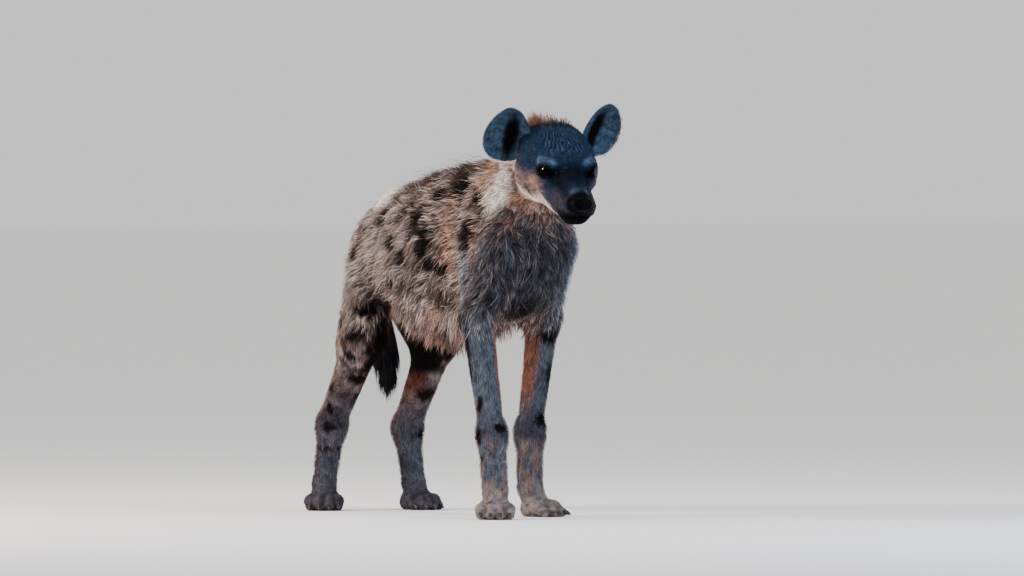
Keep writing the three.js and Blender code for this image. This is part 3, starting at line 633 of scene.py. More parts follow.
# %% Push the folds in
def fold_push(q):
    """How far the skin moves out along its normal, in the head's frame."""
    m = mirrored(q)
    x, y, z = m.T
    on_mouth = ramp(x, 66, 84) * ramp(214 - x, 0, 6)
    from_lip = z - mouth_height(x)
    push = -3.4 * bell(from_lip, 1.8) * on_mouth
    push += 1.4 * bell(from_lip - 5, 3.4) * on_mouth
    push += 0.9 * bell(from_lip + 5, 3.2) * on_mouth
    push -= 1.8 * bell(y, 1.4) * ramp(x, 192, 202) * ramp(-z, 40, 46)
    push += 0.85 * forehead_folds(q)
    bridge = ramp(x, 96, 112) * ramp(172 - x, 0, 20) * ramp(z, -30, -14)
    push += 0.45 * np.sin(x * 0.55 - 0.5 * y) * bridge
    cheek = ramp(x, 96, 108) * ramp(150 - x, 0, 18) * ramp(y, 16, 24) * ramp(from_lip, 8, 14)
    push += 0.35 * np.sin(x * 0.5 + z * 0.42) * cheek
    ring = lengths_of(m - EYE_AT)
    push -= 1.2 * bell(ring - 20.5, 1.5) * ramp(x, 74, 88)
    push -= 0.7 * bell(ring - 25, 1.6) * ramp(x, 74, 88)
    push -= 2.6 * bell(np.maximum(cheek_crease(m), 0), 2.6)
    return push


p = places(skin_bm)
in_face = np.nonzero(near_head(p))[0]
normal = unit(measure(head, p[in_face])[1])
pushed = fold_push(to_head(p[in_face]))
p[in_face] += normal * pushed[:, None]
print("folds from", round(pushed.min(), 1), "to", round(pushed.max(), 1), "mm")

# %% Open the lids
SIGHT = np.array([0.80, 0.60, 0.03])  # which way the left eye looks
SIGHT /= np.linalg.norm(SIGHT)
LOOK_STEP, LOOK_STEPS = 0.45, 44  # how the lids' skin is pushed back, in millimetres
OPENING = ball(EYE_AT + SIGHT * 14 + [0, 0, -0.5], [17.5, 17.5, 8.6])


def opened(q):
    return -smooth_min(-lidded(q), OPENING(q), 1.6)


q = to_head(p)
side = np.sign(q[:, 1])
q = mirrored(q)
around_eye = np.nonzero(lengths_of(q - (EYE_AT + SIGHT * 8)) < 24)[0]
line_start = q[around_eye] + SIGHT * 3
back = np.zeros(len(around_eye))
still = np.ones(len(around_eye), bool)
for _ in range(LOOK_STEPS):
    d = opened(line_start - SIGHT * back[:, None])
    still &= d > 0
    back[still] += LOOK_STEP
moves = np.maximum(back - 3, 0)
q[around_eye] -= SIGHT * moves[:, None]
q[:, 1] *= np.where(side == 0, 1, side)
p[around_eye] = from_head(q)[around_eye]
SOLE_GAP, FLOOR_GAP = 0.3, 0.4  # how far over the floor the soles and the rest stay, in millimetres
p[:, 2] = np.maximum(p[:, 2], SOLE_GAP)
set_coordinates(skin_bm, p)
print("lids opened at", int((moves > 1).sum()), "vertices")

# %% [markdown]
# ## Colours of the coat
# A spotted hyena is sandy grey with dark brown spots. This one has a slate blue face, a pale patch
# on the side of its neck, a dark grey breast, grey blue legs that are tan behind, and a nearly
# black tail. The slate blue of the face, ears, breast and legs is partly the animal's dark grey and
# partly the cool blue of skylight in shade, painted into the colour. The skin and the hair take
# their colour from one function of the place on the body, so that they always agree. Each zone is
# a soft mask, and the spots have uneven rims.

# %% Palette
TAUPE, PALE_TAUPE, DARK_TAUPE = rgb("#736362"), rgb("#a89998"), rgb("#382e2f")
TAN, RUSSET, CREAM, WISP = rgb("#b48e79"), rgb("#945b3e"), rgb("#fff6f0"), rgb("#d9c8bd")
UMBER, BROWN, INK = rgb("#3c2b26"), rgb("#120e0f"), rgb("#070607")
# SLATE, PALE_SLATE, DARK_SLATE, EAR_SLATE and LEG_BLUE are partly the animal's grey and partly the cool blue
# of skylight in shade, painted in
SLATE, PALE_SLATE, DARK_SLATE = rgb("#1d3045"), rgb("#6b86a3"), rgb("#060d18")
MAUVE, CHEEK, JAW, CHEST = rgb("#3b3743"), rgb("#836c69"), rgb("#dcc6c0"), rgb("#3d3d48")
LEG_BLUE, LEG_TAN, DUST, RED_BROWN = rgb("#6b7482"), rgb("#a37c69"), rgb("#9b8e86"), rgb("#5c332b")
EAR_SLATE, SOOT = rgb("#394a5c"), rgb("#1b1a1f")


# %% Helpers: noise, places and layers of tone
def waves(p, size, seed):
    """Smooth noise between about -1 and 1, from sine waves that run in many directions."""
    pick = np.random.default_rng(seed)
    total = np.zeros(len(p))
    for _ in range(7):
        way = pick.normal(size=3)
        way *= (0.7 + 0.9 * pick.random()) / np.linalg.norm(way)
        swing = 1.4 * np.sin(p @ np.roll(way, 1) * (3.1 / size))
        total += np.sin(p @ way * (2 * math.pi / size) + pick.random() * 7 + swing)
    return total / 3.6


def near(p, place, size):
    """1 at the place, falling to nothing past about its size."""
    return np.exp(-(((p - np.array(place, float)) / np.array(size, float)) ** 2).sum(axis=1))


def deepened(colour):
    """Pulls the dark tones down and leaves the pale ones."""
    return np.clip(colour, 0, 0.95) ** 1.06


def paint(base, *layers):
    """Lays tones over a colour one after another, each through a mask from 0 to 1."""
    for tone, mask in zip(layers[::2], layers[1::2]):
        base = base + (tone - base) * np.clip(mask, 0, 1)[:, None]
    return base


def filled(tone, count):
    return np.repeat(tone[None], count, axis=0)


# %% Where the dark spots are
RIGHT_SPOTS = [  # place on the right side of the animal, then half its length, depth and height
    (154, -72, 716, 32, 30, 20), (227, -108, 619, 17, 30, 28), (-7, -107, 647, 24, 30, 18),
    (-205, -83, 646, 22, 30, 15), (47, -115, 610, 26, 30, 20), (33, -117, 583, 22, 30, 14),
    (-52, -117, 563, 20, 30, 13), (68, -114, 553, 24, 30, 15), (66, -85, 699, 24, 30, 12),
    (-120, -110, 600, 20, 30, 14), (-290, -100, 620, 16, 30, 14), (-330, -90, 570, 15, 30, 14),
    (112, -105, 540, 15, 30, 12), (-130, -105, 510, 16, 30, 11), (250, -90, 700, 14, 26, 16),
    (-251, -110, 445, 13, 24, 13), (-244, -125, 386, 12, 30, 9), (-262, -130, 348, 16, 30, 13),
    (-220, -105, 357, 11, 24, 11), (-361, -125, 273, 12, 22, 11), (-293, -108, 295, 12, 22, 10),
    (-337, -87, 261, 10, 18, 8), (-382, -125, 228, 11, 20, 10), (-398, -125, 187, 10, 20, 9),
    (-330, -120, 420, 14, 24, 13), (-370, -100, 330, 12, 20, 12), (-420, -110, 140, 9, 16, 9),
    (257, -123, 363, 10, 18, 28), (262, -118, 322, 10, 18, 17), (296, -112, 249, 7, 14, 13),
    (304, -118, 180, 7, 14, 14), (330, -83, 197, 5, 12, 8), (232, -110, 430, 12, 20, 17),
    (300, -100, 130, 6, 12, 8),
]
LEFT_SPOTS = [
    (-318, 79, 325, 15, 16, 13), (-364, 100, 258, 14, 16, 14), (-420, 104, 170, 9, 16, 11),
    (185, 96, 211, 10, 18, 14), (196, 109, 312, 12, 18, 22), (170, 90, 150, 9, 16, 11),
    (215, 100, 400, 12, 20, 18), (-300, 120, 400, 16, 26, 14), (-345, 128, 350, 14, 26, 12),
]
spot_draw = np.random.default_rng(3)
for place in RIGHT_SPOTS[:19]:  # the other flank has its own marks, much like these
    shift = spot_draw.uniform(-22, 22, 3) * [1, 0, 0.8]
    LEFT_SPOTS.append((place[0] + shift[0], -place[1], place[2] + shift[2], *place[3:]))
SPOTS = np.array(RIGHT_SPOTS + LEFT_SPOTS, float)
print(len(SPOTS), "spots")


def spot_mask(p):
    mask = np.zeros(len(p))
    jag = 1 + 0.3 * waves(p, 19, 5)
    for spot in SPOTS:
        here = np.nonzero((np.abs(p - spot[:3]) < 2.2 * spot[3:]).all(axis=1))[0]
        far = lengths_of((p[here] - spot[:3]) / spot[3:]) * jag[here] / 1.2
        mask[here] = np.maximum(mask[here], ramp(1.35 - far, 0, 0.6))
    return mask


# %% Patches of the coat
PATCHES = [  # place on the right side, size, colour and strength; the left side has the same
    ((345, -70, 650), (30, 40, 26), DARK_TAUPE, 0.7), ((274, -82, 738), (34, 40, 34), TAN, 1.0),
    ((292, -88, 704), (14, 24, 16), RUSSET, 0.4), ((310, -80, 690), (26, 30, 30), CREAM, 0.8),
    ((336, -72, 735), (24, 32, 44), CREAM, 1.0), ((320, -84, 712), (24, 30, 28), CREAM, 0.9),
    ((374, -62, 714), (20, 24, 16), TAN, 0.5), ((398, -50, 690), (22, 26, 14), LEG_TAN, 0.5),
    ((250, -100, 560), (14, 30, 90), LEG_TAN, 0.7), ((140, -98, 655), (20, 44, 50), TAN, 0.6),
    ((145, -106, 560), (14, 30, 32), TAN, 0.7), ((271, -127, 432), (24, 30, 34), PALE_TAUPE, 0.6),
    # the umber patch along the back at (-60, -50, 718) is partly dark fur and partly painted shade
    ((-60, -50, 718), (74, 44, 22), UMBER, 0.85), ((110, -60, 735), (46, 40, 18), UMBER, 0.8),
    ((-266, -42, 690), (38, 44, 26), CREAM, 1.0), ((120, -66, 742), (60, 30, 22), UMBER, 0.8),
    ((-330, -100, 520), (60, 40, 60), PALE_TAUPE, 0.7), ((-180, -100, 560), (60, 40, 40), PALE_TAUPE, 0.5),
    ((10, -100, 500), (80, 40, 30), DARK_TAUPE, 0.6), ((360, -62, 770), (16, 30, 24), TAN, 0.8),
    ((235, -112, 530), (30, 30, 60), PALE_SLATE, 0.45),
]


# a pale line runs down the shoulder's back edge
shoulder_line = bone([138, -106, 620], [204, -118, 400], 14, 8)
print(len(PATCHES), "patches on each side")


def limb_axis(limb, z):
    stops = np.array([limb[k] for k in ("ankle", "low", "middle", "root")], float)
    return np.interp(z, stops[:, 2], stops[:, 0]), np.interp(z, stops[:, 2], stops[:, 1])


# %% The colour of a leg
def leg_colour(p, colour, limb, fore, s):
    """Grey blue in front, partly a painted cool light, and tan behind on a fore leg; tan with a red inner
    side on a hind leg.
    """
    x, y, z = p.T
    axis_x, axis_y = limb_axis(limb, z)
    here = ramp(470 - z, 0, 90) * ramp(95 - np.hypot(x - axis_x, y - axis_y), 0, 25)
    forward, inward = x - axis_x, (axis_y - y) * s
    if fore:
        flecks = ramp(waves(p * [1, 1, 0.2], 18, 53), -0.4, 0.8)
        return paint(
            colour,
            LEG_BLUE, here * (0.75 + 0.25 * waves(p, 30, 51)),
            # painted shade: the left fore leg, away from the warm light, takes more of the dark breast tone
            CHEST, (0.4 if s > 0 else 0.15) * here * ramp(420 - z, 0, 60),
            LEG_TAN, 0.75 * here * ramp(-forward + 6 * waves(p, 40, 52), 0, 18),
            RUSSET, 0.7 * here * ramp(inward, 8, 22) * ramp(z, 200, 300),
            LEG_TAN, 0.5 * here * ramp(230 - z, 0, 90) * flecks,
            MAUVE, 0.6 * here * ramp(250 - z, 0, 60) * ramp(z, 150, 190),
        )
    return paint(
        colour,
        MAUVE, 0.8 * here * ramp(330 - z, 0, 120),
        LEG_BLUE, 0.4 * here * ramp(250 - z, 0, 120) * ramp(forward, 0, 16),
        LEG_TAN, 0.5 * here * ramp(-forward, 12, 28) * (0.8 + 0.3 * waves(p, 24, 55)),
        RED_BROWN, 0.85 * here * ramp(inward, 4, 22) * ramp(z, 240, 280),
        # painted shade high on the inner side of the hind legs, between the thighs
        INK, 0.97 * here * ramp(inward, -16, 4) * ramp(z, 290, 318),
    )


# %% The colour of the body
def body_colour(p):
    x, y, z = p.T
    right = np.stack([x, -np.abs(y), z], axis=1)
    crest = bell(y, 60) * ramp(z, 670, 720) * ramp(x, -240, -60)
    colour = paint(
        filled(TAUPE, len(p)),
        PALE_TAUPE, 0.4 + 0.6 * waves(p, 90, 21),
        DARK_TAUPE, ramp(waves(p, 52, 22), 0.0, 0.8) * 0.85,
        LEG_TAN, 0.4 * ramp(waves(p, 75, 25), 0.1, 0.9),
        UMBER, 1.2 * crest * (0.75 + 0.45 * waves(p, 34, 23)),
        TAN, 0.5 * ramp(x, 240, 330) * ramp(z, 640, 700),
    )
    for place, size, patch, strength in PATCHES:
        colour = paint(colour, patch, strength * ramp(near(right, place, size), 0.0, 0.7))
    front = ramp(x + 0.3 * (640 - z), 270, 330) * ramp(690 - z, 0, 70)
    streak = 0.5 + 0.5 * np.sin(y * 0.21 + 1.3 * np.sin(z * 0.02) + waves(p, 60, 24))
    # painted cool light: the left breast faces the cool light and is painted pale slate
    left_breast = near(p, (275, 112, 540), (74, 30, 100)) * (0.75 + 0.25 * streak)
    belly = ramp(420 - z, 0, 30) * ramp(x, -280, -220) * ramp(150 - x, 0, 60) * ramp(80 - np.abs(y), 0, 40)
    colour = paint(
        colour,
        TAN, 0.75 * ramp(-shoulder_line(right), -12, 4),
        CHEST, 0.9 * front,
        LEG_BLUE, 0.3 * front * streak,
        LEG_TAN, 0.45 * front * ramp(z, 590, 650) * ramp(waves(p, 40, 27), -0.3, 0.6),
        # painted cool light on the left breast
        PALE_SLATE, 0.95 * left_breast,
        # painted shade under the chest, between the fore legs
        INK, 0.9 * ramp(x, 180, 250) * ramp(52 - np.abs(y), 0, 34) * ramp(505 - z, 0, 60),
        UMBER, 0.7 * belly,
        # painted shade in the groin, where the belly meets the hind legs
        BROWN, 0.9 * near(right, (-240, -30, 470), (60, 40, 50)),
    )
    for group in (FORE, HIND):
        for side in ("right", "left"):
            colour = leg_colour(p, colour, group[side], group is FORE, SIDES[side])
    dusty = ramp(100 - z, 0, 70) * (0.1 + 0.85 * ramp(x, 0, 60))
    return paint(
        colour,
        MAUVE, 0.6 * ramp(90 - z, 0, 60) * ramp(-x, 0, 60),
        DUST, dusty * (0.8 + 0.5 * waves(p, 26, 54)),
        BROWN, 0.5 * ramp(75 - z, 0, 50) * ramp(waves(p, 24, 8), -0.2, 0.7),
        BROWN, 0.97 * spot_mask(p),
    )


# %% The colour of the head, in the head's own frame
brow_patch = bone([66, 61, 8], [98, 36, 17], 7, 4)
jaw_stripe = bone([-62, 70, -46], [40, 46, -92], 8, 6)


NOSE_REACH = np.array([22, 27, 19.5])  # half of the bare nose, forward, across and up


def from_nose(q):
    return lengths_of((q - NOSE_AT) / NOSE_REACH)


def head_colour(q):
    m = mirrored(q)
    x, y, z = m.T
    cheek_patches = 0.75 + 0.35 * waves(q, 26, 61)
    cheek = ramp(y, 38, 62) * ramp(-z, 14, 44) * ramp(x, -40, 0) * ramp(124 - x, 0, 34)
    ring = lengths_of((m - EYE_AT) * [1, 1, 1.3])
    from_lip = z - mouth_height(x)
    folds = forehead_folds(q)
    colour = paint(
        filled(SLATE, len(q)),
        TAUPE, ramp(-x, 4, 40) * ramp(-z, 6, 34),
        CHEEK, cheek_patches * cheek,
        # the underside of the jaw is pale: partly pale fur and partly painted bounce light
        JAW, 0.8 * ramp(-z, 62, 84) * ramp(x, -20, 20) * ramp(150 - x, 0, 34),
        RUSSET, 0.9 * near(q, (-56, -26, 44), (16, 16, 26)),
        BROWN, 0.8 * near(q, (-34, -18, 50), (12, 24, 16)),
        TAN, 0.6 * cheek_patches * near(m, (-6, 84, -56), (28, 30, 32)),
        TAN, 0.8 * near(m, (-70, 66, -48), (26, 30, 34)),
        CREAM, 0.8 * ramp(-jaw_stripe(m), -9, 0),
        TAN, 0.7 * cheek_patches * near(m, (76, 66, -40), (18, 20, 20)),
        # the pale lens over each eye is partly paler brow hair and partly a painted sheen
        PALE_SLATE, 0.8 * ramp(-brow_patch(m), -9, 5) * (0.8 + 0.3 * waves(q, 7, 66)),
        DARK_SLATE, 0.9 * (ramp(x, 84, 120) * ramp(z + 0.25 * (x - 100), -26, -6)),
        DARK_SLATE, 0.9 * near(m, (110, 36, -12), (26, 20, 20)),
        INK, 0.95 * near(m, (108, 33, -5), (13, 9, 6)),
        MAUVE, 0.9 * (ramp(x, 112, 140) * ramp(-z, 18, 36)),
        # a painted highlight: the top of the muzzle, just above the nose pad, is lighter
        SLATE, 0.8 * near(m, (168, 10, -12), (20, 18, 12)),
        PALE_SLATE, 0.3 * near(m, (178, 10, -14), (10, 14, 8)),
        JAW, 0.8 * bell(from_lip + 7, 5.0) * ramp(x, 60, 80) * ramp(158 - x, 0, 20),
        BROWN, 0.9 * bell(from_lip, 2.2) * ramp(x, 70, 86),
        INK, ramp(x + 0.4 * (-60 - z), 150, 178) * ramp(-z, 46, 62),
        INK, 0.97 * ramp(26 - ring, 0, 5),
        INK, 0.95 * ramp(1.4 - from_nose(q), 0, 0.3),
        # a painted shadow in the cheek's crease
        BROWN, 0.7 * bell(np.maximum(cheek_crease(m), 0), 3.0),
        # painted shade in the furrows of the forehead and a painted highlight on its ridges
        DARK_SLATE, 0.75 * np.maximum(-folds, 0),
        PALE_SLATE, 0.26 * np.maximum(folds, 0),
    )
    return colour * np.clip(1 + 0.22 * waves(q, 9, 62) + 0.16 * waves(q, 24, 63), 0.4, 1.7)[:, None]


def headness(p):
    """1 on the head, 0 on the neck and throat."""
    mask = np.zeros(len(p))
    here = np.nonzero(from_head_middle(p) < HEAD_REACH)[0]
    q = to_head(p[here])
    mask[here] = ramp(q[:, 0], -66, -26) * ramp(q[:, 2], -118, -98)
    return mask


def coat_colour(p):
    colour = body_colour(p)
    hanging = ramp(30 - tail(p), 0, 18) * ramp(-p[:, 0], 440, 470)
    colour = paint(colour, INK, hanging * ramp(545 - p[:, 2], 0, 60))
    mask = np.minimum(1, 1.8 * headness(p))  # the face's colours end before the neck begins
    here = np.nonzero(mask > 0)[0]
    colour[here] += (head_colour(to_head(p[here])) - colour[here]) * mask[here, None]
    return deepened(colour)


# %% Helpers: the tint on a mesh, and materials with a relief
def add_tint(made, colour):
    layer = made.data.color_attributes.new("tint", "FLOAT_COLOR", "POINT")
    data = np.ones((len(colour), 4))
    data[:, :3] = colour
    layer.data.foreach_set("color", data.ravel())


def add_node(tree, kind, **sockets):
    node = tree.nodes.new(kind)
    set_sockets(node, sockets)
    return node


def grain_of(tree, kind, scale, **sockets):
    """A texture laid by the piece's own place, as one value."""
    grain = add_node(tree, kind, Scale=scale, **sockets)
    tree.links.new(tree.nodes.new("ShaderNodeTexCoord").outputs["Object"], grain.inputs["Vector"])
    return grain.outputs[0]


def add_relief(tree, shader, height, strength, distance):
    relief = add_node(tree, "ShaderNodeBump", Strength=strength, Distance=distance)
    tree.links.new(height, relief.inputs["Height"])
    tree.links.new(relief.outputs["Normal"], shader.inputs["Normal"])


def tinted_material(name, roughness=0.62, relief=0.0, shine=0.03):
    """The colour comes from the mesh's own tint."""
    material, tree, shader = new_material(name, Roughness=roughness, Specular_IOR_Level=shine)
    tint = tree.nodes.new("ShaderNodeAttribute")
    tint.attribute_name = "tint"
    tree.links.new(tint.outputs["Color"], shader.inputs["Base Color"])
    if relief:
        grain = grain_of(tree, "ShaderNodeTexNoise", 900.0, Detail=4.0)
        add_relief(tree, shader, grain, relief, 0.0006)
    return material


def grained_material(name, low, high, texture, scale, relief, roughness, shine):
    """Two tones and a relief from one texture."""
    material, tree, shader = new_material(name, Roughness=roughness, Specular_IOR_Level=shine)
    grain = grain_of(tree, "ShaderNodeTex" + texture, scale)
    tones = tree.nodes.new("ShaderNodeValToRGB")
    for stop, at, code in zip(tones.color_ramp.elements, (0.25, 0.75), (low, high)):
        stop.position, stop.color = at, rgba(code)
    tree.links.new(grain, tones.inputs["Fac"])
    tree.links.new(tones.outputs["Color"], shader.inputs["Base Color"])
    add_relief(tree, shader, grain, relief, 0.0005)
    return material


# %% Skin: mesh, colour and finish
skin_points = places(skin_bm)
for f in skin_bm.faces:
    f.smooth = True
skin_object = object_from("skin", skin_bm)
SKIN_SHADE = 0.75  # the skin lies in the shade of its hair
add_tint(skin_object, coat_colour(skin_points) * SKIN_SHADE)
skin_object.data.materials.append(tinted_material("short coat", relief=0.6))
FLESH = ["chest", "belly", "rump", "neck", "tail_dock", "tail_brush", "lower_jaw", "head"]
for part in ("shoulder", "forearm", "fore_foot", "thigh", "shank", "hind_foot"):
    FLESH += [f"{part}_{side}" for side in SIDES]
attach(skin_object, "root")
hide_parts(*FLESH)
print("skin has", sum(len(f.vertices) - 2 for f in skin_object.data.polygons), "triangles")

# %% [markdown]
# ## Eyes, nose, ears and claws
# These are smooth or horny and stay apart from the hairy skin. The eye is a ball almost filled by
# a dark brown iris, under a wet bulge. The nose is a pebbled pad with comma-shaped nostrils. Each
# ear is a rounded leaf, cupped towards the front, with a thin rim. Each claw is a blunt curved cone.


# %% Helpers: a ball to shape, and how a smooth piece is finished
def round_blank(detail):
    """A ball 2 across to be shaped, and where its vertices are."""
    bm = bmesh.new()
    bmesh.ops.create_icosphere(bm, subdivisions=detail, radius=1.0)
    return bm, points_of(bm)


def finish_piece(name, bm, material, slot, *nodes):
    bmesh.ops.recalc_face_normals(bm, faces=bm.faces)
    for f in bm.faces:
        f.smooth = True
    made = object_from(name, bm)
    made.data.materials.append(material)
    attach(made, "root")
    if nodes:
        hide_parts(*nodes)
    return made


# %% Eyes
PUPIL, IRIS, EYE_EDGE = rgb("#010101"), rgb("#060302"), rgb("#020101")
eye_material = tinted_material("dark eye", roughness=0.03, shine=0.012)
eyeballs = []
for side, s in SIDES.items():
    bm = bmesh.new()
    bmesh.ops.create_uvsphere(bm, u_segments=48, v_segments=32, radius=EYE_R)
    p = points_of(bm)
    facing = unit(p) @ (SIGHT * [1, s, 1])
    p *= (1 + 0.05 * ramp(facing, 0.6, 0.95))[:, None]  # the cornea bulges
    set_coordinates(bm, from_head(p + EYE_AT * [1, s, 1]))
    eyeball = finish_piece(f"eyeball_{side}", bm, eye_material, "eye", f"eye_{side}")
    fibres = 0.8 + 0.2 * waves(unit(p), 0.3, 81)
    iris, pupil = ramp(facing, 0.72, 0.8) * fibres, ramp(facing, 0.9, 0.93)
    add_tint(eyeball, paint(filled(EYE_EDGE, len(p)), IRIS, iris, PUPIL, pupil))
    eyeballs.append(eyeball)
print("eyes are", 2 * EYE_R, "mm across")

# %% A glint in the eyes, from a lamp that lights nothing else
GLINT_FAR, GLINT_SIZE, GLINT_POWER = 4, 1.3, 12000
glint_way = Vector((-0.885 * math.cos(turn), -0.885 * math.sin(turn), 0.38)) + towards_camera * 0.25
eye_place = Vector(to_metres(from_head((EYE_AT * [1, -1, 1])[None]))[0])
glint_place = eye_place + glint_way * GLINT_FAR
glint_lamp = soft_light("glint_lamp", glint_place, eye_place, GLINT_SIZE, GLINT_POWER, "#f2f8ff")
glint_lamp.visible_diffuse = False
seen_by = bpy.data.collections.new("things with a glint")
for eyeball in eyeballs:
    seen_by.objects.link(eyeball)
glint_lamp.light_linking.receiver_collection = seen_by

# %% Nose pad
PAD_RADII = [19, 25.5, 17.5]
NOSTRIL_OUT, NOSTRIL_DEEP, NOSTRIL_LEAN = 11.5, 8.5, math.radians(38)
nose_material = grained_material("wet nose", "#040406", "#010102", "Voronoi", 620.0, 0.5, 0.46, 0.03)
bm, p = round_blank(6)
p = p * PAD_RADII
p[:, 2] = np.where(p[:, 2] < 0, p[:, 2] * (1 - 0.25 * np.abs(p[:, 1]) / 25), p[:, 2])
outward = unit(p)
cos, sin = math.cos(NOSTRIL_LEAN), math.sin(NOSTRIL_LEAN)
for s in (1, -1):
    across = p[:, 1] * s - NOSTRIL_OUT
    along, over = across * cos + p[:, 2] * sin, -across * sin + p[:, 2] * cos
    comma = np.exp(-((along / 5.2) ** 2) - ((over - 0.06 * along**2 + 1) / 3.0) ** 2) * (p[:, 0] > 0)
    p -= outward * (NOSTRIL_DEEP * np.minimum(1.25 * comma, 1))[:, None]
middle_groove = 1.8 * bell(p[:, 1], 1.2) * ramp(6 - p[:, 2], 0, 6) * (p[:, 0] > 0)
p -= outward * middle_groove[:, None]
set_coordinates(bm, from_head(p + NOSE_AT))
finish_piece("nose_leather", bm, nose_material, "nose_skin", "nose_pad")
print("nose pad is", 2 * PAD_RADII[1], "mm wide")

# %% Ears
EAR_LONG, EAR_WIDE, EAR_THICK, EAR_CUP = 73, 51.5, 3.0, 25
EAR_PLACES = {"left": (-31, 110, 34), "right": (-31, -106, 25)}
ears = {}
for side, s in SIDES.items():
    bm, p = round_blank(6)
    x, y, z = p.T
    outer = y * s
    rim = np.minimum(1, np.hypot(y, z))
    lean = np.arctan2(y, z)
    leaf = 1 + 0.05 * np.cos(3 * lean) - 0.06 * np.cos(lean)
    roll = 5.0 * ramp(rim, 0.8, 1.0) * ramp(outer, 0.1, 0.6)  # the outer edge rolls forward
    deep = -EAR_CUP * (1 - rim * rim) + roll
    half = EAR_THICK * (0.5 + 0.9 * (1 - rim))
    local = np.stack([deep + half * x, y * EAR_WIDE * leaf, z * EAR_LONG * leaf], axis=1)
    swing, tilt = Matrix.Rotation(s * 0.32, 3, "Z"), Matrix.Rotation(0.17, 3, "Y")
    stance = np.array(swing @ tilt @ Matrix.Rotation(s * 0.04, 3, "X"))
    placed = local @ stance.T + EAR_PLACES[side]
    set_coordinates(bm, from_head(placed))
    made = finish_piece(f"ear_leaf_{side}", bm, tinted_material(f"ear skin {side}"), "face", f"ear_{side}")
    front = ramp(x, -0.2, 0.3)
    middle = -0.02 + 0.3 * z if s > 0 else -0.2 - 0.1 * z
    hollow = front * ramp(1.08 - np.hypot((outer - middle) / (0.42 + 0.12 * z), (z + 0.16) / 0.98), 0, 0.62)
    edge = ramp(rim, 0.95, 0.975) * np.maximum(ramp(outer, -0.5, -0.1), ramp(-z, 0.3, 0.7))
    edge = np.maximum(edge, (x < 0) * ramp(rim, 0.9, 0.96) * ramp(outer, -0.5, -0.1))
    mottle = (1 + 0.36 * waves(placed, 19, 64) + 0.2 * waves(placed, 7, 65))[:, None]
    # the hollow of the cup is painted nearly black: painted shade inside the ear
    tint = paint(EAR_SLATE[None] * mottle, INK, hollow, DARK_TAUPE * mottle, (1 - front) * 0.9)
    tint = deepened(paint(tint, CREAM, 0.8 * edge))
    add_tint(made, tint)
    away = unit(np.stack([np.zeros(len(y)), y, z], axis=1)) @ stance.T @ HEAD_AXES.T
    up = HEAD_AXES @ (stance @ np.array([0, 0, 1.0]))
    ears[side] = dict(mesh=made.data, points=from_head(placed), tint=tint, rim=rim, hollow=hollow, edge=edge,
                      up=up, away=away)
print("ears", 2 * EAR_LONG, "mm long")

# %% Claws
CLAW_THICK = 5.6
claw_material = grained_material("dark claw", "#120f0e", "#26201c", "Noise", 260.0, 0.35, 0.42, 0.5)
claws = 0
for pair, group in (("fore", FORE), ("hind", HIND)):
    for side in SIDES:
        at = foot_frame(group[side])
        a = math.radians(group[side]["yaw"])
        across = np.array([-math.sin(a), math.cos(a), 0])
        for number, y in enumerate(TOE_SPREAD, start=1):
            reach = toe_reach(y)
            stops = ((reach + 2, y * 1.07, 13), (reach + 14, y * 1.1, 11), (reach + 23, y * 1.12, 4.0))
            spine = np.array([at(*stop) for stop in stops])
            bm, p = round_blank(3)
            t = (p[:, 0:1] + 1) / 2
            curve = spine[0] * (1 - t) ** 2 + 2 * spine[1] * t * (1 - t) + spine[2] * t * t
            width = CLAW_THICK * (1 - 0.7 * t) ** 0.8
            ring = p[:, 1:2] * across + p[:, 2:3] * np.array([0.25, 0, 1.0])
            p = curve + ring * width
            p[:, 2] = np.maximum(p[:, 2], FLOOR_GAP)
            set_coordinates(bm, p)
            toe = f"{pair}_{side}_{number}"
            finish_piece(f"nail_{toe}", bm, claw_material, "claw", f"claw_{toe}")
            claws += 1
print(claws, "claws")

# %% [markdown]
# ## Hair
# One tuft is a narrow three-sided spike of a dozen faces or so, closed at its root. Real fur could
# be drawn with strands, but those don't travel with a model. So each tuft here is solid. It starts
# just under the skin, leans along the lie of the coat and ends at the coat's height. Tufts near
# one another gather towards a shared tip, as clean dry hair does.


# %% One tuft
def tuft_template(cuts):
    bm = bmesh.new()
    stood_up = Matrix.Translation((0, 0, 0.5))
    bmesh.ops.create_cone(bm, cap_ends=True, segments=3, radius1=1.0, radius2=0.0, depth=1.0, matrix=stood_up)
    for cut in cuts:
        everything = bm.verts[:] + bm.edges[:] + bm.faces[:]
        bmesh.ops.bisect_plane(bm, geom=everything, plane_co=(0, 0, cut), plane_no=(0, 0, 1))
    bmesh.ops.remove_doubles(bm, verts=bm.verts, dist=1e-5)
    bmesh.ops.triangulate(bm, faces=bm.faces)
    bmesh.ops.recalc_face_normals(bm, faces=bm.faces)
    bm.verts.index_update()
    points = points_of(bm)
    faces = np.array([[v.index for v in f.verts] for f in bm.faces])
    bm.free()
    return points, faces


LONG_TUFT = tuft_template((0.36, 0.7))
SHORT_TUFT = tuft_template((0.5,))
print("a long tuft has", len(LONG_TUFT[1]), "faces, a short one", len(SHORT_TUFT[1]))


# %% The lie of the hair
def segment_lie(p, limb):
    """Down the limb, and out along the toes, by the part that is nearest."""
    at = foot_frame(limb)
    stops = [limb["root"], limb["middle"], limb["low"], limb["ankle"], at(10, 0, 30), at(90, 0, 8)]
    way, weight = np.zeros_like(p), np.zeros(len(p))
    for a, b in zip(stops[:-1], stops[1:]):
        a, b = np.array(a, float), np.array(b, float)
        d = bone(a, b, 1, 1)(p)
        w = np.exp(-d / 14)
        way += w[:, None] * (b - a) / np.linalg.norm(b - a)
        weight += w
    return way / (weight[:, None] + 1e-12)


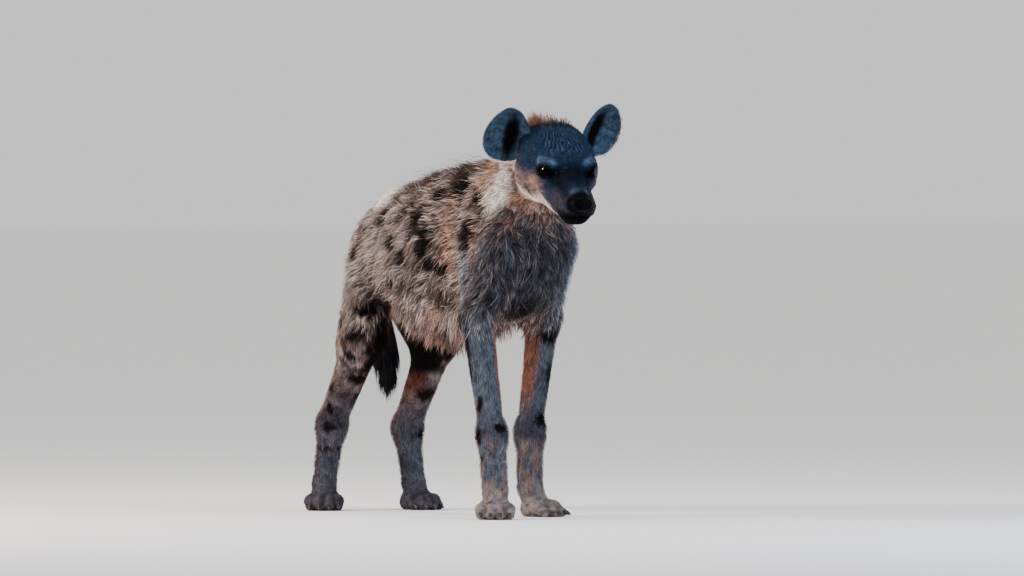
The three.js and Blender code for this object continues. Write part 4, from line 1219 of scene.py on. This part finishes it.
def lie_of(p):
    x, y, z = p.T
    flank = ramp(740 - z, 0, 190)
    lie = np.stack([-np.ones(len(p)), 0.12 * np.sign(y) * (1 - flank), -0.12 - 0.6 * flank], axis=1)
    lie = paint(  # directions blend as tones do
        lie,
        np.array([-0.45, 0, -0.9]), ramp(-x, 330, 430),
        np.array([-0.62, 0, -0.78]), ramp(x, 230, 330),
        np.array([-0.1, 0, -1.0]), ramp(x, 260, 320) * ramp(670 - z, 0, 60),
    )
    body_far = np.maximum(smooth_min(trunk(p), neck(p), 60) + 8, 0)
    lie *= np.exp(-body_far / 16)[:, None]
    for (limb, _), whole in zip(limbs, legs):
        weight = np.exp(-np.maximum(whole(p) + 8, 0) / 16) * ramp(560 - z, 0, 90)
        lie += segment_lie(p, limb) * weight[:, None]
    weight = np.exp(-np.maximum(tail(p) + 2, 0) / 9) * ramp(-x, 440, 470)
    lie += 3 * weight[:, None] * np.array([-0.1, 0.25, -1.0])
    mask = headness(p)
    here = np.nonzero(mask > 0)[0]
    q = to_head(p[here])
    outward = 0.35 * np.sign(q[:, 1]) * ramp(np.abs(q[:, 1]), 8, 40)
    face_lie = np.stack([-np.ones(len(q)), outward, np.where(q[:, 2] > 0, 0.15, -0.3)], axis=1)
    lie[here] = unit(lie[here]) * (1 - mask[here, None]) + (unit(face_lie) @ HEAD_AXES.T) * mask[here, None]
    return unit(lie)


# %% Roots, spread evenly over the skin
def triangles_of(mesh):
    mesh.calc_loop_triangles()
    index = np.empty(len(mesh.loop_triangles) * 3, np.int32)
    mesh.loop_triangles.foreach_get("vertices", index)
    return index.reshape(-1, 3)


def spread(points, triangles, per_square_mm):
    a, b, c = (points[triangles[:, k]] for k in range(3))
    normal = np.cross(b - a, c - a)
    area = lengths_of(normal) / 2
    counts = np.floor(area * per_square_mm((a + b + c) / 3) + draw.random(len(area))).astype(int)
    chosen = np.repeat(np.arange(len(area)), counts)
    u, v = draw.random(len(chosen)), draw.random(len(chosen))
    over = u + v > 1
    u[over], v[over] = 1 - u[over], 1 - v[over]
    root = a[chosen] + u[:, None] * (b - a)[chosen] + v[:, None] * (c - a)[chosen]
    return root, unit(normal[chosen])


# %% Gather the tips of neighbours
def nearest_of(points, askers):
    """For each asker, the number of the point that is nearest to it."""
    tree = KDTree(len(points))
    for k, point in enumerate(points.tolist()):
        tree.insert(point, k)
    tree.balance()
    return np.array([tree.find(asker)[1] for asker in askers.tolist()])


def gathered(root, tip, spacing, pull):
    """Pulls the tips of neighbours towards the tip of one tuft in the middle of them."""
    order = draw.permutation(len(root))[: max(1, int(len(root) * spacing))]
    leader = order[nearest_of(root[order], root)]
    return tip + (tip[leader] - tip) * pull, leader


# %% Tufts on roots: where their vertices lie, and one mesh of them all
def wrap_place(p, axis_from, axis_to):
    """A place on a wrapping round the piece's own axis: how far round and how far along."""
    a, b = np.array(axis_from, float), np.array(axis_to, float)
    way = (b - a) / np.linalg.norm(b - a)
    side = np.cross(way, [0, 1, 0.01])
    side /= np.linalg.norm(side)
    over = np.cross(way, side)
    d = p - a
    place = np.stack([np.arctan2(d @ over, d @ side) / (2 * math.pi), d @ way], axis=1)
    low, high = place.min(axis=0), place.max(axis=0)
    return 0.01 + 0.98 * (place - low) / np.maximum(high - low, 1e-6)


def tuft_verts(points, root, tip, normal, side, wide, lift, field, sink, flat):
    """A tuft starts under the skin, rises by lift within its first four fifths and narrows to its tip."""
    t = points[:, 2]
    verts = np.empty((len(root), len(points), 3))
    for level in np.unique(np.round(t, 4)):
        middle = root + (tip - root) * level
        high = -sink + (lift + sink) * math.sin(min(level * 1.25, 1) * math.pi / 2)
        if level == 0:
            middle = root - normal * sink
        elif field is None:
            middle = middle + normal * high[:, None]
        else:
            value, g = measure(field, middle)
            g2 = np.maximum((g * g).sum(axis=1, keepdims=True), 0.3)
            middle = middle + (high - value)[:, None] * g / g2
        fullness = 1 + 1.5 * level
        for i in np.nonzero(np.abs(t - level) < 1e-3)[0]:
            u, v = points[i, 0] * fullness, points[i, 1] * fullness
            verts[:, i] = middle + side * (u * wide)[:, None] + normal * (v * wide * flat)[:, None]
    verts[..., 2] = np.maximum(verts[..., 2], FLOOR_GAP)
    return verts


def mesh_of_tufts(name, verts, points, faces, wrapped):
    count = len(verts)
    total_faces = count * len(faces)
    mesh = bpy.data.meshes.new(name)
    mesh.vertices.add(count * len(points))
    mesh.vertices.foreach_set("co", to_metres(verts.reshape(-1, 3)).ravel())
    index = (faces[None] + (np.arange(count) * len(points))[:, None, None]).reshape(-1)
    mesh.loops.add(total_faces * 3)
    mesh.loops.foreach_set("vertex_index", index.astype(np.int32))
    mesh.polygons.add(total_faces)
    mesh.polygons.foreach_set("loop_start", np.arange(0, total_faces * 3, 3, dtype=np.int32))
    mesh.polygons.foreach_set("use_smooth", np.ones(total_faces, bool))
    # a tuft takes a small patch of the map round the place of its root
    patch = np.stack([points[:, 0] * 0.0012, (points[:, 2] - 0.5) * 0.003], axis=1)
    uv = (wrapped[:, None] + patch[None]).reshape(-1, 2)[index]
    mesh.uv_layers.new(name="OFBake").data.foreach_set("uv", uv.ravel())
    mesh.update()
    return mesh


# %% Grow one piece of coat
COAT_MATERIAL = tinted_material("hair", roughness=0.6)


def grow(name, root, normal, lie, long, wide, lift, colour, slot, axis, template=LONG_TUFT, field=None,
         pull=0.35, spacing=0.08, sink=1.5, flat=0.35, shade=(0.55, 1.0, 1.1), hanging=False, clump=0.0):
    points, faces = template
    wide, lift = (np.broadcast_to(value, (len(root),)) for value in (wide, lift))
    if not hanging:
        lie = lie - (lie * normal).sum(axis=1, keepdims=True) * normal
    lie = unit(lie)
    side = unit(np.cross(normal, lie))
    tip, leader = gathered(root, root + lie * long[:, None], spacing, pull)
    colour = colour * np.clip(1 + clump * draw.normal(size=len(root)), 0.45, 1.8)[leader][:, None]
    verts = tuft_verts(points, root, tip, normal, side, wide, lift, field, sink, flat)
    mesh = mesh_of_tufts(name, verts, points, faces, wrap_place(root, *axis))
    made = new_object(name, mesh)
    # painted shade: each tuft darkens towards its root, where its neighbours shade it, and lightens towards
    # its tip
    shade_along_tuft = np.interp(points[:, 2], [0, 0.5, 1], shade)  # at the root, halfway and at the tip
    add_tint(made, (colour[:, None] * shade_along_tuft[None, :, None]).reshape(-1, 3))
    mesh.materials.append(COAT_MATERIAL)
    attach(made, "root")
    print(name, len(root), "tufts,", len(mesh.polygons), "triangles")


# %% Roots for the whole body: how long the hair is, and how close the tufts stand
skin_triangles = triangles_of(skin_object.data)


def crown_mask(p):
    return near(to_head(p), (-56, -28, 44), (15, 13, 26)) * (from_head_middle(p) < HEAD_REACH)


def underside(p):
    """1 along the middle of the belly, where the hair hangs in a fringe."""
    x, _, z = p.T
    return ramp(470 - z, 0, 50) * ramp(x, -270, -200) * ramp(190 - x, 0, 50) * ramp(z, 360, 385)


def hair_length(p):
    x, y, z = p.T
    crest = bell(y, 46) * ramp(x, -380, -100) * ramp(z, 650, 720)
    flank = ramp(140 - x, 0, 110) * ramp(x + 400, 0, 120)  # longest between the shoulder and the hip
    long = 12 + 6 * ramp(z, 180, 360) + (10 + 12 * flank) * ramp(z, 360, 560)
    long = long + 6 * ramp(z, 640, 740) + 24 * crest
    long = np.where(z < 130, 6 + (long - 6) * ramp(z, 20, 130), long)
    long = 12 + (long - 12) * np.where(long > 12, ramp(from_head_middle(p), 130, 290), 1)
    q = to_head(p)
    from_eye = lengths_of(mirrored(q) - EYE_AT)
    face = 3.4 + 2.4 * ramp(from_eye, 20, 50)
    face = face + 2.6 * ramp(70 - q[:, 0], 0, 50) + 8 * ramp(30 - q[:, 0], 0, 60)
    long = long + (face - long) * headness(p)
    return long + 14 * underside(p)


def density(p):
    """Tufts on a square millimetre: fewer where they are long, most on the face."""
    near_neck = ramp(p[:, 0], 270, 330) * ramp(p[:, 2], 560, 640) * (1 - headness(p))
    return 0.077 + 0.045 * near_neck + 0.14 * headness(p) * ramp(to_head(p)[:, 0], -20, 50)


root, normal = spread(skin_points, skin_triangles, density)
long = hair_length(root)
print(len(root), "roots")

# %% Which root grows in which piece of coat
HAIR_GAP = 3.5  # the hair stays this far from the eye
x, y, z = root.T
q = to_head(root)
on_head = headness(root) > 0.5
on_pad = from_nose(q) < 1
on_eye = lengths_of(mirrored(q) - EYE_AT) < EYE_R + HAIR_GAP
on_sole = (normal[:, 2] < -0.6) & (z < 14)
bare = (on_pad | on_eye) & on_head | on_sole
on_tail = (tail(root) < -0.5) & (x < -446)
low_leg = (z < 400) & ~on_tail


def both_sides(name, there):
    """The left one takes what the right one leaves."""
    return {f"{name}_right": there & (y < 0), f"{name}_left": there}


ZONES = {  # a root belongs to the first zone that it lies in
    "face_hair": on_head & (q[:, 0] > 62),
    "cheek_hair": on_head,
    "brush_roots": on_tail & (z < 505),
    "tail_base_hair": on_tail,
    **both_sides("leg_hair_front", low_leg & (x > 60)),
    **both_sides("leg_hair_hind", low_leg & (x < -180)),
    "neck_hair": (x > 300) & (z > 640),
    "breast_hair": x > 250,
    **both_sides("shoulder_hair", x > 110),
    **both_sides("rib_hair", x > -50),
    **both_sides("loin_hair", x > -220),
    **both_sides("rump_hair", np.ones(len(x), bool)),
}
left = ~bare
zone_of = {}
for name, mask in ZONES.items():
    zone_of[name] = np.nonzero(mask & left)[0]
    left &= ~mask
print(len(zone_of), "zones")

# %% How each tuft lies, how high it stands and what colour it has
turned = lie_of(root)
tousle = 0.5 * waves(root, 80, 31) + 0.3 * waves(root, 33, 32)
calm = np.where(z < 420, 0.4, 1.0) * np.where(on_head, 0.3, 1.0)
turned = turned + np.cross(normal, turned) * (tousle * calm)[:, None]
length = long * draw.uniform(0.65, 1.35, len(root))
depth = np.maximum(coat_depth(root), 1.5)
depth = np.where(on_head, 0.8 + 6 * ramp(-q[:, 0], 0, 50), depth)
lift = depth * draw.uniform(0.25, 1.15, len(root))
shaggy_leg = ramp(z, 24, 130) * ramp(260 - z, 0, 60) * ~on_head  # the pasterns are thick with hair
lift = np.where(z < 400, np.maximum(lift, draw.uniform(0.8, 3.2, len(root)) * ramp(z, 6, 120)), lift)
lift += shaggy_leg * draw.uniform(0.3, 2.2, len(root))
lift += 8 * underside(root) * draw.random(len(root))
seen_at = root + turned * (0.5 * length)[:, None]
colour = coat_colour(seen_at)
tone = np.where(on_head, 0.08, 0.4) * waves(root, 22, 41)
tone += np.where(on_head, 0.25, 0.22) * draw.normal(size=len(root))
steady = 1 - 0.7 * ramp(colour.mean(axis=1), 0.25, 0.6)  # pale fur stays clean
colour = colour * np.clip(1 + tone * steady, 0.3, 1.9)[:, None]
luck = draw.random(len(root))
guard = (luck < 0.14 * steady) & (z > 380) & ~on_head
colour[guard] = colour[guard] * 0.4
wisp = (luck > 0.86) & (z > 400) & ~on_head & (x < 330)
# pale tips keep out of the dark marks
unspotted = np.clip(colour.mean(axis=1, keepdims=True) * 8 - 0.1, 0.02, 1.0)
colour[wisp] = colour[wisp] * 0.4 + (WISP * 0.6 * unspotted)[wisp]
frost = (luck > 0.94) & on_head & (q[:, 0] < 120) & (q[:, 2] > -60)
colour[frost] = colour[frost] * 0.6 + PALE_SLATE * 0.3

# %% Grow the coat of the body, the legs and the head
TRUNK_AXIS = ((-470, 0, 560), (330, 0, 600))
NECK_AXIS = ((240, 0, 600), (430, -8, 800))
HEAD_AXIS = (from_head(np.array([-60.0, 0, -20])), from_head(np.array([200.0, 0, -40])))


def style_of(name):
    """Tufts are thinner and gather less on the legs and on the head."""
    style = dict(axis=TRUNK_AXIS, wide=1.05, slot="body_coat", pull=0.5, clump=0.28)
    if name.startswith("leg_hair"):
        pair, side = name.split("_")[2:]
        limb = (FORE if pair == "front" else HIND)[side]
        style.update(axis=(limb["ankle"], limb["middle"]), wide=0.9, slot="leg_coat", pull=0.25, clump=0.15)
    if name in ("neck_hair", "breast_hair"):
        style.update(axis=NECK_AXIS, wide=0.85, slot="neck_coat")
    if name in ("face_hair", "cheek_hair"):
        style.update(axis=HEAD_AXIS, wide=0.68, slot="face", pull=0.25, clump=0.2)
    return style


for name, k in zone_of.items():
    if name == "brush_roots":
        continue
    style = style_of(name)
    widths = style.pop("wide") * (0.75 + 0.25 * np.minimum(length[k] / 40, 1.4))
    # the pale neck gets less painted shade at the roots of its tufts
    shade = (0.6, 1.05, 1.35) if name == "neck_hair" else (0.35, 0.95, 1.3)
    grow(name, root[k], normal[k], turned[k], length[k], widths, lift[k], colour[k],
         template=SHORT_TUFT, field=skin, flat=0.4, shade=shade, **style)

# %% Stray hairs: long and fine, they stand out of the coat and blur its outline
STRAYS = 3200  # on each side
hairy = np.nonzero((z > 400) & ~on_head & ~on_tail & ~bare)[0]
for name, there in (("stray_hair_right", y < 0), ("stray_hair_left", y >= 0)):
    k = draw.choice(hairy[there[hairy]], STRAYS, replace=False)
    stray_tone = draw.uniform(0.5, 1.5, len(k))[:, None]
    pale = (draw.random(len(k)) < 0.6)[:, None]
    stray_pale = colour[k] * 0.5 + WISP * 0.5 * unspotted[k]
    stray_colour = np.where(pale, stray_pale, colour[k] * 0.35) * stray_tone
    loose = turned[k] + 0.28 * draw.normal(size=(len(k), 3)) + 0.2 * normal[k]
    stand = depth[k] * draw.uniform(0.9, 1.7, len(k))
    grow(name, root[k], normal[k], loose, length[k] * 1.5, 0.5, stand, stray_colour, "body_coat", TRUNK_AXIS,
         field=skin, pull=0.0, shade=(0.7, 1.0, 1.2))

# %% Belly: a fringe that hangs free and hides the line of the belly
FRINGE_TUFTS = 2100
low_belly = (z < 470) & (normal[:, 2] < -0.15) & (x > -230) & (x < 190) & (np.abs(y) < 118) & (z > 370)
k = np.repeat(np.nonzero(low_belly)[0], 2)
k = k[draw.random(len(k)) < FRINGE_TUFTS / len(k)]
fringe_way = np.array([-0.35, 0, -1.0]) + 0.25 * normal[k] + 0.16 * draw.normal(size=(len(k), 3))
fringe_long = draw.uniform(26, 62, len(k)) * (0.6 + 0.4 * ramp(x[k], -230, -120) * ramp(190 - x[k], 0, 80))
fringe_colour = paint(colour[k], TAN, 0.3 * draw.random(len(k)))
grow("belly_fringe", root[k], normal[k], unit(fringe_way), fringe_long, 1.0, 3.0, fringe_colour, "body_coat",
     TRUNK_AXIS, pull=0.4, spacing=0.07, clump=0.3, shade=(0.4, 1.0, 1.3), hanging=True)

# %% Crown: a tuft of upright hair behind the brow, dark at its front
CROWN_HAIRS = 7  # for each root
k = np.repeat(np.nonzero(draw.random(len(root)) < crown_mask(root) * 1.2)[0], CROWN_HAIRS)
base = root[k] + draw.normal(size=(len(k), 3)) * 1.6
on_crown = to_head(base)
back, across = HEAD_AXES @ np.array([-1.0, 0, 0]), HEAD_AXES @ np.array([0, 1.0, 0])
fan = (on_crown[:, 1:2] + 20) * 0.016 * across
upright = unit(0.85 * normal[k] + 0.5 * back + fan + 0.16 * draw.normal(size=(len(k), 3)))
front_side = ramp(on_crown[:, 0], -44, -26)
crown_colour = paint(filled(RED_BROWN, len(k)), TAN, 0.3 + 0.65 * draw.random(len(k)))
crown_colour = paint(crown_colour, BROWN, 0.9 * front_side) * draw.uniform(0.5, 1.25, (len(k), 1))
crown_long = draw.uniform(16, 50, len(k)) * (0.5 + 0.5 * crown_mask(base)) * (1 - 0.45 * front_side)
crown_long = crown_long * (1 - 0.75 * ramp(on_crown[:, 1], -26, -8))
grow("crown_hair", base, normal[k], upright, crown_long, 0.42, 0.0, crown_colour, "face", HEAD_AXIS,
     pull=0.25, spacing=0.05, shade=(0.3, 0.9, 1.4), hanging=True)

# %% [markdown]
# ## Tail brush and ears
# The brush is long black hair that hangs from the lower half of the tail and parts into uneven
# tips. It doesn't follow the skin, so its tufts start along the tail and then hang freely. The
# ears are nearly bare, with short fuzz on both faces, a pale fringe on the rim and longer hair
# over the hollow.

# %% Tail brush
BRUSH_END = 218  # how low the longest tips reach
HANGING_TUFT = tuft_template((0.2, 0.5, 0.8))
k = np.concatenate([zone_of["brush_roots"]] * 2)
base, out = root[k], normal[k]
splay = draw.random(len(k)) ** 1.5
hang = unit(np.array([0.0, 0.02, -1.0]) + 0.17 * splay[:, None] * out + 0.04 * draw.normal(size=out.shape))
lock_end = 70 * ramp(waves(base * [1, 1, 0], 16, 71), -0.5, 0.9)
room = base[:, 2] - BRUSH_END - 0.6 * lock_end - 90 * splay - 30 * draw.random(len(k))
brush_long = np.minimum(draw.uniform(60, 150, len(k)), room / np.maximum(-hang[:, 2], 0.3))
brush_tone = draw.uniform(0.7, 1.6, len(k))[:, None]
brush_colour = paint(filled(SOOT, len(k)), UMBER, 0.5 * ramp(base[:, 2], 430, 500)) * brush_tone
BRUSH_AXIS = ((-500, 60, 200), (-500, 60, 600))
grow("tail_brush_hair", base, out, hang, np.maximum(brush_long, 12), 1.5, 6.0, brush_colour, "tail_hair",
     BRUSH_AXIS, HANGING_TUFT, pull=0.4, spacing=0.03, flat=0.5, shade=(0.7, 1.0, 1.2), hanging=True)

# %% Ear fuzz and the fringe on the rim
FUZZ_DENSITY = 0.16  # hairs on a square millimetre
FRINGE_HAIRS = 5  # for each root on the rim
for side, ear in ears.items():
    ear_triangles = triangles_of(ear["mesh"])
    ear_root, ear_normal = spread(ear["points"], ear_triangles, lambda p: np.full(len(p), FUZZ_DENSITY))
    at_vertex = nearest_of(ear["points"], ear_root)
    known = [ear[key][at_vertex] for key in ("rim", "hollow", "edge", "tint", "away")]
    rim, in_hollow, on_edge, ear_tint, away = known
    on_rim = ramp(rim, 0.9, 0.98)
    clear = skin(ear_root) > 1
    fuzz_long = draw.uniform(3.5, 6.5, len(ear_root)) * (1 - 0.5 * on_rim + 0.8 * in_hollow)
    up = ear["up"] + 0.25 * draw.normal(size=ear_root.shape)
    # the fuzz takes the ear's tint, the painted shade in the hollow included
    fuzz_colour = paint(ear_tint * draw.uniform(0.5, 1.8, (len(ear_root), 1)), CREAM, 0.9 * on_edge)
    pale_fuzz = (draw.random(len(ear_root)) < 0.12) & (in_hollow < 0.7)
    fuzz_colour[pale_fuzz] = fuzz_colour[pale_fuzz] * 0.6 + PALE_SLATE * 0.3
    fuzz_long = np.where(pale_fuzz, fuzz_long * 1.6, fuzz_long)
    k = np.nonzero(clear)[0]
    grow(f"ear_hair_{side}", ear_root[k], ear_normal[k], up[k], fuzz_long[k], 0.6, 0.8 - 0.3 * on_rim[k],
         fuzz_colour[k], "face", HEAD_AXIS, SHORT_TUFT, pull=0.1, sink=0.8)
    k = np.repeat(np.nonzero((on_edge > 0.7) & clear & (rim > 0.97))[0], FRINGE_HAIRS)
    fringe_way = away[k] + 0.3 * draw.normal(size=(len(k), 3))
    fringe_long = draw.uniform(2.5, 5.5, len(k))
    fringe_colour = filled(CREAM * 0.8, len(k))
    grow(f"ear_fringe_{side}", ear_root[k], ear_normal[k], unit(fringe_way), fringe_long, 0.42, 0.0,
         fringe_colour, "face", HEAD_AXIS, SHORT_TUFT, pull=0.1, sink=0.6, hanging=True)
